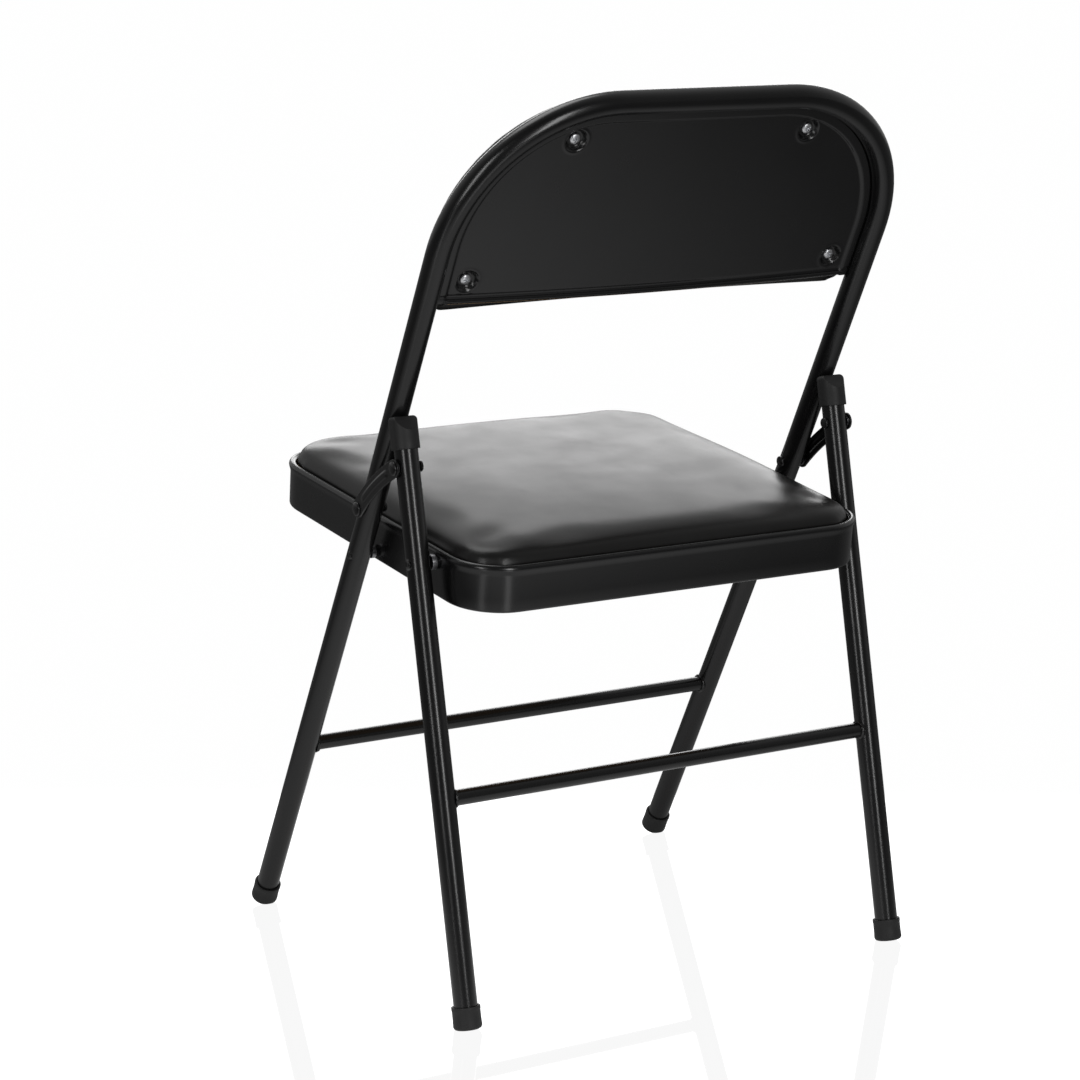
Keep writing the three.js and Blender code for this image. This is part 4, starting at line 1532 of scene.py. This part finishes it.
@dataclass
class Seat:
    """The pressed apron with its rolled rim, the cushion and the board's screws."""

    layout: Layout
    half_width: float = 0.209
    front: float = -0.2175
    rear: float = 0.1785
    front_corner: float = 0.058
    rear_corner: float = 0.048
    height: float = 0.0425
    sheet: float = 0.0012
    wall_inset: float = 0.0016
    bead_radius: float = 0.0029
    board_top: float = 0.0363
    flange_top: float = 0.030
    crown: float = 0.0060
    cushion_inset: float = 0.0072
    cushion_top: float = 0.0578
    rear_fall: float = 0.0030
    swell_limit: float = 0.0018
    top_limit: float = 0.0650

    def outline(self, mesh: BMesh, section: Sequence[Point], corner_steps: int) -> None:
        """Carries a section round the seat's outline, in the pan's own frame.

        Args:
            mesh: The mesh that the run adds to.
            section: Points as (distance outwards from the wall, height above the apron's edge).
            corner_steps: How many lengths a corner is cut into.
        """
        start = Matrix(((0, 0, 1, 0), (1, 0, 0, self.rear), (0, 1, 0, 0), (0, 0, 0, 1)))
        run = SectionRun(mesh, section, start, closed=False)
        rear_flat = self.half_width - self.rear_corner
        side_flat = self.rear - self.rear_corner - self.front - self.front_corner
        front_flat = 2 * (self.half_width - self.front_corner)
        steps = [
            (rear_flat, 12, self.rear_corner),
            (side_flat, 20, self.front_corner),
            (front_flat, 20, self.front_corner),
            (side_flat, 20, self.rear_corner),
        ]
        for length, cuts, corner in steps:
            run.straight(length, cuts)
            run.bend(QUARTER, corner, (-1.0, 0.0), corner_steps)
        run.straight(rear_flat, 12)

    def apron(self, shop: Workshop) -> None:
        """The apron: bottom hem, wall, rolled rim, return and board flange in one sheet.

        Args:
            shop: Where the pieces are made.
        """
        half = self.sheet / 2
        wall = -self.wall_inset - half
        bead = (-self.bead_radius - half, self.height - half - self.bead_radius)
        back = bead[0] - self.bead_radius
        flange = self.flange_top - half
        fold = 0.0022
        section = [
            (-0.012, half + 0.0022),
            (-0.0112, half),
            *arc((wall - fold, half + fold), fold, -90.0, 0.0, 5),
            (wall, 0.012),
            (wall, bead[1] - 0.0066),
            (wall + 0.0003, bead[1] - 0.0042),
            (wall + 0.0012, bead[1] - 0.0018),
            *arc(bead, self.bead_radius, 0.0, 180.0, 10),
            (back, flange + fold + 0.0016),
            *arc((back - fold, flange + fold), fold, 0.0, -90.0, 4),
            (-0.030, flange),
        ]
        mesh = bmesh.new()
        self.outline(mesh, section, 14)
        tidy(mesh, 1e-5)
        bmesh.ops.transform(mesh, matrix=self.layout.pan, verts=mesh.verts)
        piece = shop.add("seat_apron_pressed", mesh, Slot.PAINT, Body.SEAT, ["seat_apron"], crease=60.0)
        thickened(piece, self.sheet)
        log.info("%s: sheet of %.1f mm", piece.name, self.sheet * 1000)

    def cushion(self, shop: Workshop) -> None:
        """The cushion: a crowned foam pad under smooth vinyl, drawn down inside the rim.

        Args:
            shop: Where the pieces are made.
        """
        inset, base, top = -self.cushion_inset, self.board_top + 0.0006, self.cushion_top
        section = [
            (-0.042, top),
            (inset - 0.022, top),
            (inset - 0.013, top - 0.0004),
            (inset - 0.0070, top - 0.0016),
            (inset - 0.0030, top - 0.0038),
            (inset - 0.0006, top - 0.0070),
            (inset, top - 0.0110),
            (inset, base),
            (-0.042, base),
        ]
        mesh = bmesh.new()
        self.outline(mesh, section, 10)
        tidy(mesh, 1e-5)
        bmesh.ops.holes_fill(mesh, edges=[edge for edge in mesh.edges if edge.is_boundary], sides=0)
        bmesh.ops.recalc_face_normals(mesh, faces=mesh.faces)
        to_pan = self.layout.pan.inverted()
        middle = (self.rear + self.front) / 2
        reach = (self.rear - self.front) / 2

        def crowned(spot: Vector) -> Vector:
            """Lifts the top towards the middle of the seat and lets it fall to the rear.

            Args:
                spot: A point of the flat form.

            Returns:
                Its place on the chair.
            """
            along = (spot.y - middle) / reach
            sides = (1 - (spot.x / self.half_width) ** 2) * (1 - along ** 2)
            fall = self.rear_fall * smooth_step(-0.1, 1.0, along)
            spot.z += smooth_step(base, top, spot.z) * (self.crown * max(sides, 0.0) - fall)
            return self.layout.pan @ spot

        def on_base(point: Vector) -> bool:
            """Says whether a point rests on the board."""
            return (to_pan @ point).z < base + 0.0055

        def kept(old: Vector, new: Vector) -> Vector:
            """Keeps a point near its start, over the board and inside the rim.

            Args:
                old: Where the point began.
                new: Where the cover took it.

            Returns:
                Where it may go.
            """
            start, spot = to_pan @ old, to_pan @ new
            move = spot - start
            if move.length > self.swell_limit:
                move *= self.swell_limit / move.length
            spot = start + move
            side = self.half_width - self.cushion_inset
            spot.x = min(max(spot.x, -side), side)
            spot.y = min(max(spot.y, self.front + self.cushion_inset), self.rear - self.cushion_inset)
            spot.z = max(spot.z, self.board_top + 0.0002)
            return self.layout.pan @ crowned_limit(spot)

        def crowned_limit(spot: Vector) -> Vector:
            """Keeps the crown under the height of a new cushion."""
            spot.z = soft_min(spot.z, self.top_limit, 0.004)
            return spot

        swollen = puffed(mesh, crowned, on_base, kept)
        piece = shop.add(
            "seat_cushion_cover", swollen, Slot.VINYL, Body.SEAT, ["seat_cushion"], crease=180.0
        )
        fine(piece)

    def screws(self, shop: Workshop) -> None:
        """The four screws that hold the board, heads down under the flange.

        Args:
            shop: Where the pieces are made.
        """
        places = {
            "front_left": (1, 0.070 + self.front),
            "front_right": (-1, 0.070 + self.front),
            "rear_left": (1, self.rear - 0.070),
            "rear_right": (-1, self.rear - 0.070),
        }
        head_face = self.flange_top - 0.0016 - 0.0003
        for label, (way, along) in places.items():
            spot = Matrix.Translation((way * (self.half_width - 0.017), along, head_face))
            flipped = spot @ Matrix.Rotation(math.pi, 4, "X")
            mesh = cross_head_screw(self.layout.pan @ flipped, 0.0072)
            name = f"seat_screw_{label}"
            shop.add(f"{name}_turned", mesh, Slot.SCREW, Body.SEAT, [name], crease=40.0)

    def build(self, shop: Workshop) -> None:
        """Builds the seat.

        Args:
            shop: Where the pieces are made.
        """
        self.apron(shop)
        self.cushion(shop)
        self.screws(shop)
        shop.dress("seat_board", Slot.BOARD)


def cross_head_screw(place: Matrix, length: float) -> BMesh:
    """A pan-head screw with a cross recess, head up on the place's XY plane.

    Args:
        place: Where the head's underside goes.
        length: The shank's length.

    Returns:
        The new mesh.
    """
    shank, radius, height = 0.002, 0.0050, 0.0033
    depth, half_slot, slot_reach = 0.0015, 0.00055, 0.0027
    angles = [math.radians(6 * i) for i in range(15)]
    rings = [(radius * math.cos(a), height * (0.35 + 0.65 * math.sin(a))) for a in angles]
    profile = [
        (0.0, -length),
        (shank, 0.003 - length),
        (shank, 0.0),
        (radius - 0.0003, 0.0),
        (radius, 0.0003),
        *rings,
        (0.00022, height),
        (0.0, height),
    ]
    mesh = turned(profile, Matrix.Identity(4), 96)

    def recessed(point: Vector) -> Vector:
        """Sinks the points inside the cross.

        Args:
            point: A point of the mesh.

        Returns:
            Where it goes.
        """
        if point.z < 0.3 * height:
            return point
        inside = max(
            min(half_slot - abs(a), slot_reach - abs(b)) for a, b in ((point.x, point.y), (point.y, point.x))
        )
        sink = depth * smooth_step(-0.00008, 0.00022, inside)
        return Vector((point.x, point.y, point.z - sink))

    moved_verts(mesh, recessed)
    bmesh.ops.transform(mesh, matrix=place, verts=mesh.verts)
    return mesh


# ---------------------------------------------------------------- back


@dataclass
class Back:
    """The pressed back panel with its screws, and the pad in front of it."""

    layout: Layout
    panel_height: float = 0.181
    panel_recess: float = 0.0033
    sheet: float = 0.0011
    bulge_depth: float = 0.006
    band_width: float = 0.0088
    band_step: float = 0.0016
    dimple_radius: float = 0.011
    dimple_floor_radius: float = 0.0074
    dimple_depth: float = 0.0046
    bead_radius: float = 0.0025
    pad_inset: float = 0.010
    pad_rear: float = -0.0113
    pad_front: float = -0.0282
    pad_crown: float = 0.003
    pad_bottom_corner: float = 0.026
    pad_overhang: float = 0.017
    pad_edge: float = 0.009
    pad_bow: float = 0.008
    swell_limit: float = 0.003
    screw_places: dict[str, Point] = field(
        default_factory=lambda: {"upper": (0.1173, 0.0365), "lower": (0.1873, 0.1695)}
    )

    def __post_init__(self) -> None:
        """Works out the panel's lower edge."""
        self.bottom = self.layout.arch_top - self.layout.tube_radius - self.panel_height

    def bulge(self, over: float, up: float) -> float:
        """How far the back bulges to the rear at a point of the back's frame."""
        top = self.layout.arch_top
        sideways = max(1 - (over / self.layout.hoop_half_width(up)) ** 2, 0.0)
        return self.bulge_depth * sideways * (top - up) / (top - self.bottom)

    def screw_spots(self) -> dict[str, Point]:
        """Each screw's name and place in the back's frame.

        Returns:
            The places by the screws' names.
        """
        return {
            f"{level}_{side.label}": (side.value * over, self.layout.arch_top - down)
            for level, (over, down) in self.screw_places.items()
            for side in Side
        }

    def panel(self, shop: Workshop) -> None:
        """The panel: a sheet fitted into the hoop, with a stepped band, dimples and a bottom bead.

        Args:
            shop: Where the pieces are made.
        """
        lay = self.layout
        clear = lay.tube_radius + 0.0004
        corner = lay.arch_radius - clear
        corner_x = lay.front_half_span - lay.arch_radius
        corner_up = lay.arch_top - lay.arch_radius
        straight = corner_up - self.bottom
        rows_straight, rows_round, columns = 34, 150, 280
        mesh = bmesh.new()
        bmesh.ops.create_grid(mesh, x_segments=columns, y_segments=rows_straight + rows_round, size=1.0)
        spots = list(self.screw_spots().values())
        share_straight = rows_straight / (rows_straight + rows_round)

        def fitted(point: Vector) -> Vector:
            """Takes a point of the flat grid to its place on the pressed sheet.

            Args:
                point: A point of the mesh.

            Returns:
                Where it goes.
            """
            row = (point.y + 1) / 2
            if row < share_straight:
                up = self.bottom + straight * row / share_straight
                half = corner_x + corner
            else:
                angle = QUARTER * (row - share_straight) / (1 - share_straight)
                up = corner_up + corner * math.sin(angle)
                half = corner_x + corner * math.cos(angle)
            over = half * point.x
            if abs(over) > corner_x and up > corner_up:
                edge = corner - math.hypot(abs(over) - corner_x, up - corner_up)
            else:
                edge = min(half - abs(over), corner_up + corner - up)
            rear = -self.panel_recess - self.sheet / 2 + self.bulge(over, up)
            band = 1 - smooth_step(self.band_width - 0.001, self.band_width + 0.0012, edge)
            rear += self.band_step * band
            for x, z in spots:
                away = math.hypot(over - x, up - z)
                if away < 2 * self.dimple_radius:
                    rim = smooth_step(self.dimple_radius - 0.0004, self.dimple_radius + 0.0026, away)
                    rear += 0.0005 * (1 - rim)
                    wall = 1 - smooth_step(self.dimple_floor_radius, self.dimple_radius, away)
                    rear -= (self.dimple_depth + 0.0005) * wall
            groove = 1 - smooth_step(0.0, 0.0022, abs(up - self.bottom - 0.0072))
            return Vector((over, rear - 0.0008 * groove, up))

        moved_verts(mesh, fitted)
        tidy(mesh, 1e-6)
        if sum(face.normal.y for face in mesh.faces) < 0:
            bmesh.ops.reverse_faces(mesh, faces=mesh.faces)
        bmesh.ops.transform(mesh, matrix=lay.back, verts=mesh.verts)
        piece = shop.add(
            "back_panel_pressed", mesh, Slot.PAINT, Body.FRONT_FRAME, ["back_panel"], crease=60.0
        )
        thickened(piece, self.sheet)
        self._bottom_bead(shop)

    def _bottom_bead(self, shop: Workshop) -> None:
        """The folded bead along the panel's lower edge.

        Args:
            shop: Where the pieces are made.
        """
        lay = self.layout
        reach = lay.front_half_span - lay.tube_radius - 0.0012
        mesh = bmesh.new()
        run = SectionRun(mesh, circle(self.bead_radius, 18), across(Vector((-reach, 0.0, 0.0))), closed=True)
        run.straight(2 * reach, 60)
        run.close_ends()

        def laid(point: Vector) -> Vector:
            """Lays the bead along the bulging lower edge.

            Args:
                point: A point of the mesh.

            Returns:
                Where it goes.
            """
            end = smooth_step(0.0, 0.006, reach - abs(point.x))
            rear = self.bulge(point.x, self.bottom) - self.panel_recess - self.sheet / 2
            size = 0.55 + 0.45 * end
            return Vector((point.x, rear + size * point.y, self.bottom + self.bead_radius + size * point.z))

        moved_verts(mesh, laid)
        tidy(mesh)
        bmesh.ops.transform(mesh, matrix=lay.back, verts=mesh.verts)
        shop.add("back_panel_bottom_bead", mesh, Slot.PAINT, Body.FRONT_FRAME, ["back_panel"])

    def screws(self, shop: Workshop) -> None:
        """A screw in the floor of each dimple.

        Args:
            shop: Where the pieces are made.
        """
        for label, (over, up) in self.screw_spots().items():
            floor = self.bulge(over, up) - self.panel_recess - self.dimple_depth + 0.0001
            spot = Matrix.Translation((over, floor, up)) @ Matrix.Rotation(-QUARTER, 4, "X")
            twist = Matrix.Rotation(math.radians(37.0 + 140.0 * over + 90.0 * up), 4, "Z")
            mesh = cross_head_screw(self.layout.back @ spot @ twist, 0.0075)
            name = f"back_screw_{label}"
            shop.add(f"{name}_turned", mesh, Slot.SCREW, Body.FRONT_FRAME, [name], crease=40.0)

    def pad(self, shop: Workshop) -> None:
        """The pad: foam on a board under smooth vinyl, flat behind and crowned in front.

        Args:
            shop: Where the pieces are made.
        """
        lay = self.layout
        half = lay.front_half_span + lay.tube_radius - self.pad_inset
        top = lay.arch_top + lay.tube_radius - self.pad_inset
        arch = lay.arch_radius + lay.tube_radius - self.pad_inset
        bottom = self.bottom - self.pad_overhang
        rear, front, edge = self.pad_rear, self.pad_front, self.pad_edge
        section = [
            (-0.024, rear),
            (-0.0022, rear),
            (-0.0006, rear - 0.0016),
            (-0.0004, rear - 0.004),
            *arc((-0.0012 - edge, front + edge), edge, 0.0, -90.0, 5),
            (-0.024, front),
        ]
        start = Matrix(((0, 0, 1, 0), (0, 1, 0, 0), (-1, 0, 0, bottom), (0, 0, 0, 1)))
        mesh = bmesh.new()
        run = SectionRun(mesh, section, start, closed=False)
        corner = self.pad_bottom_corner
        sides = top - arch - bottom - corner
        for length, cuts, radius, steps in (
            (half - corner, 20, corner, 8),
            (sides, 5, arch, 26),
            (2 * (half - arch), 14, arch, 26),
            (sides, 5, corner, 8),
        ):
            run.straight(length, cuts)
            run.bend(QUARTER, radius, (-1.0, 0.0), steps)
        run.straight(half - corner, 20)
        tidy(mesh, 1e-5)
        bmesh.ops.holes_fill(mesh, edges=[item for item in mesh.edges if item.is_boundary], sides=0)
        bmesh.ops.recalc_face_normals(mesh, faces=mesh.faces)
        to_back = lay.back.inverted()

        def curved(spot: Vector) -> Vector:
            """Bends the pad with the panel, bows its lower edge and crowns its front.

            Args:
                spot: A point of the flat form.

            Returns:
                Its place on the chair.
            """
            bulge = self.bulge(spot.x, spot.z)
            middle = (top + bottom) / 2
            low = 1 - smooth_step(bottom, bottom + 0.045, spot.z)
            lift = self.pad_bow * low * (1 - (spot.x / half) ** 2)
            sideways = 1 - (spot.x / half) ** 2
            upright = 1 - ((spot.z - middle) / (top - middle)) ** 2
            crown = max(sideways, 0.0) * max(upright, 0.0)
            share = smooth_step(rear, front, spot.y)
            return lay.back @ Vector((spot.x, spot.y + bulge - self.pad_crown * crown * share, spot.z + lift))

        def on_base(point: Vector) -> bool:
            """Says whether a point is on the pad's flat rear."""
            spot = to_back @ point
            return spot.y - self.bulge(spot.x, spot.z) > rear - 0.003

        def kept(old: Vector, new: Vector) -> Vector:
            """Keeps a point near its start and in front of the hoop.

            Args:
                old: Where the point began.
                new: Where the cover took it.

            Returns:
                Where it may go.
            """
            begin, spot = to_back @ old, to_back @ new
            move = spot - begin
            if move.length > self.swell_limit:
                move *= self.swell_limit / move.length
            spot = begin + move
            spot.y = min(spot.y, rear + self.bulge(spot.x, spot.z) + 0.0001)
            return lay.back @ spot

        swollen = puffed(mesh, curved, on_base, kept)
        piece = shop.add("back_pad_cover", swollen, Slot.VINYL, Body.FRONT_FRAME, ["back_pad"], crease=180.0)
        fine(piece)

    def build(self, shop: Workshop) -> None:
        """Builds the back.

        Args:
            shop: Where the pieces are made.
        """
        self.panel(shop)
        self.screws(shop)
        self.pad(shop)
        shop.dress("back_board", Slot.BOARD)


# ---------------------------------------------------------------- studio


@dataclass
class SoftBox:
    """A studio light: an even rectangle aimed at the chair."""

    name: str
    place: tuple[float, float, float]
    size: Point
    power: float

    def build(self, target: Vector) -> None:
        """Hangs the light.

        Args:
            target: The point that it is aimed at.
        """
        data = bpy.data.lights.new(self.name, "AREA")
        data.shape = "RECTANGLE"
        data.size, data.size_y = self.size
        data.energy = self.power
        light = bpy.data.objects.new(self.name, data)
        light.visible_camera = False
        light.location = self.place
        light.rotation_euler = (target - light.location).to_track_quat("-Z", "Y").to_euler()
        bpy.context.scene.collection.objects.link(light)


@dataclass
class Studio:
    """The pale floor with its painted pool of light, the soft lights, the white surround and the camera."""

    azimuth: float = math.radians(149.18)
    elevation: float = math.radians(11.84)
    distance: float = 2.863
    target: tuple[float, float, float] = (0.0, -0.0648, 0.3587)
    lens: float = 101.46
    floor_reach: float = 30.0
    floor_polish: float = 0.2
    floor_glow: float = 1.165
    # painted pool of light on the floor, seen only in reflections and bounce light: its brightest and dimmest
    # glow, its middle and the distances where it fades
    painted_pool_bright: float = 0.62
    painted_pool_dim: float = 0.06
    painted_pool_middle: Point = (0.25, 0.40)
    painted_pool_reach: Point = (0.35, 1.05)
    far_side: float = 0.4
    near_side: float = 0.05
    strip_turn: float = math.radians(27)
    strip_height: float = 1.1
    strip_size: Point = (0.5, 1.7)

    def camera(self) -> None:
        """Sets the camera."""
        data = bpy.data.cameras.new("studio_camera")
        data.lens = self.lens
        data.clip_end = 100.0
        camera = bpy.data.objects.new("studio_camera", data)
        a, e = self.azimuth, self.elevation
        away = Vector((math.sin(a) * math.cos(e), -math.cos(a) * math.cos(e), math.sin(e)))
        target = Vector(self.target)
        camera.location = target + away * self.distance
        camera.rotation_euler = (-away).to_track_quat("-Z", "Y").to_euler()
        bpy.context.scene.collection.objects.link(camera)
        bpy.context.scene.camera = camera

    def floor(self) -> None:
        """Lays the floor: evenly bright to the camera, with a painted pool of light that only reflections and
        bounce light see, brightest round one spot and fading away from it.
        """
        mesh = bmesh.new()
        bmesh.ops.create_grid(mesh, x_segments=2, y_segments=2, size=self.floor_reach)
        bmesh.ops.translate(mesh, verts=mesh.verts, vec=(0.0, 0.0, -0.0004))
        data = bpy.data.meshes.new("studio_floor")
        mesh.to_mesh(data)
        mesh.free()
        floor = bpy.data.objects.new("studio_floor", data)
        bpy.context.scene.collection.objects.link(floor)
        material = bpy.data.materials.new("pale_floor")
        material.use_nodes = True
        nodes, links = material.node_tree.nodes, material.node_tree.links
        nodes.remove(nodes["Principled BSDF"])
        glow = nodes.new("ShaderNodeEmission")
        polish = nodes.new("ShaderNodeBsdfGlossy")
        polish.inputs["Roughness"].default_value = 0.02
        mixed = nodes.new("ShaderNodeMixShader")
        mixed.inputs["Fac"].default_value = self.floor_polish
        seen = nodes.new("ShaderNodeLightPath")
        place = nodes.new("ShaderNodeTexCoord")
        away = nodes.new("ShaderNodeVectorMath")
        away.operation = "DISTANCE"
        away.inputs[1].default_value = (*self.painted_pool_middle, 0.0)
        # painted pool of light: for rays that are not from the camera, the floor glows brightest near one
        # spot and dimmer further off
        painted_pool = range_node(nodes, *self.painted_pool_reach, self.painted_pool_bright, self.painted_pool_dim)
        level = range_node(nodes, 0.0, 1.0, 0.0, self.floor_glow)
        links.new(place.outputs["Object"], away.inputs[0])
        links.new(away.outputs["Value"], painted_pool.inputs["Value"])
        links.new(painted_pool.outputs["Result"], level.inputs["To Min"])
        links.new(seen.outputs["Is Camera Ray"], level.inputs["Value"])
        links.new(level.outputs["Result"], glow.inputs["Strength"])
        links.new(glow.outputs[0], mixed.inputs[1])
        links.new(polish.outputs[0], mixed.inputs[2])
        links.new(mixed.outputs[0], nodes["Material Output"].inputs["Surface"])
        data.materials.append(material)

    def surround(self) -> None:
        """A white surround that darkens towards the viewer's side of the room."""
        world = bpy.data.worlds.new("white_studio")
        bpy.context.scene.world = world
        world.use_nodes = True
        nodes, links = world.node_tree.nodes, world.node_tree.links
        shade = nodes["Background"]
        shade.inputs["Color"].default_value = (1.0, 1.0, 1.0, 1.0)
        way = nodes.new("ShaderNodeTexCoord")
        front = nodes.new("ShaderNodeVectorMath")
        front.operation = "DOT_PRODUCT"
        front.inputs[1].default_value = (math.sin(self.azimuth), -math.cos(self.azimuth), 0.0)
        fade = range_node(nodes, -0.35, 0.6, self.far_side, self.near_side)
        seen = nodes.new("ShaderNodeLightPath")
        blend = nodes.new("ShaderNodeMix")
        blend.data_type = "FLOAT"
        blend.inputs["B"].default_value = 1.0
        links.new(way.outputs["Generated"], front.inputs[0])
        links.new(front.outputs["Value"], fade.inputs["Value"])
        links.new(seen.outputs["Is Camera Ray"], blend.inputs["Factor"])
        links.new(fade.outputs["Result"], blend.inputs["A"])
        links.new(blend.outputs["Result"], shade.inputs["Strength"])

    def beside_camera(self, turn: float) -> tuple[float, float, float]:
        """A place as far off as the camera, turned round the chair from it."""
        around = self.azimuth + turn
        return (self.distance * math.sin(around), -self.distance * math.cos(around), self.strip_height)

    def build(self) -> None:
        """Builds the studio."""
        bpy.context.scene.view_settings.view_transform = "Standard"
        self.camera()
        self.floor()
        self.surround()
        target = Vector(self.target)
        left, right = self.beside_camera(-self.strip_turn), self.beside_camera(self.strip_turn)
        lights = [
            SoftBox("overhead_softbox", place=(0.2, -0.8, 2.6), size=(1.6, 1.2), power=14.0),
            SoftBox("far_softbox", place=(-1.55, -2.60, 1.30), size=(2.3, 1.0), power=20.0),
            SoftBox("left_strip", place=left, size=self.strip_size, power=13.0),
            SoftBox("right_strip", place=right, size=self.strip_size, power=19.0),
        ]
        for light in lights:
            light.build(target)


def main() -> None:
    """Builds the chair and its studio."""
    logging.basicConfig(level=logging.INFO, format="%(name)s: %(message)s")
    shop = Workshop()
    layout = Layout()
    assemblies = [
        Tubes(layout),
        Mouldings(layout),
        Pivots(layout),
        Seat(layout),
        Back(layout),
    ]
    for assembly in assemblies:
        assembly.build(shop)
        log.info("%s built", type(assembly).__name__)
    Studio().build()


if __name__ == "__main__":
    main()
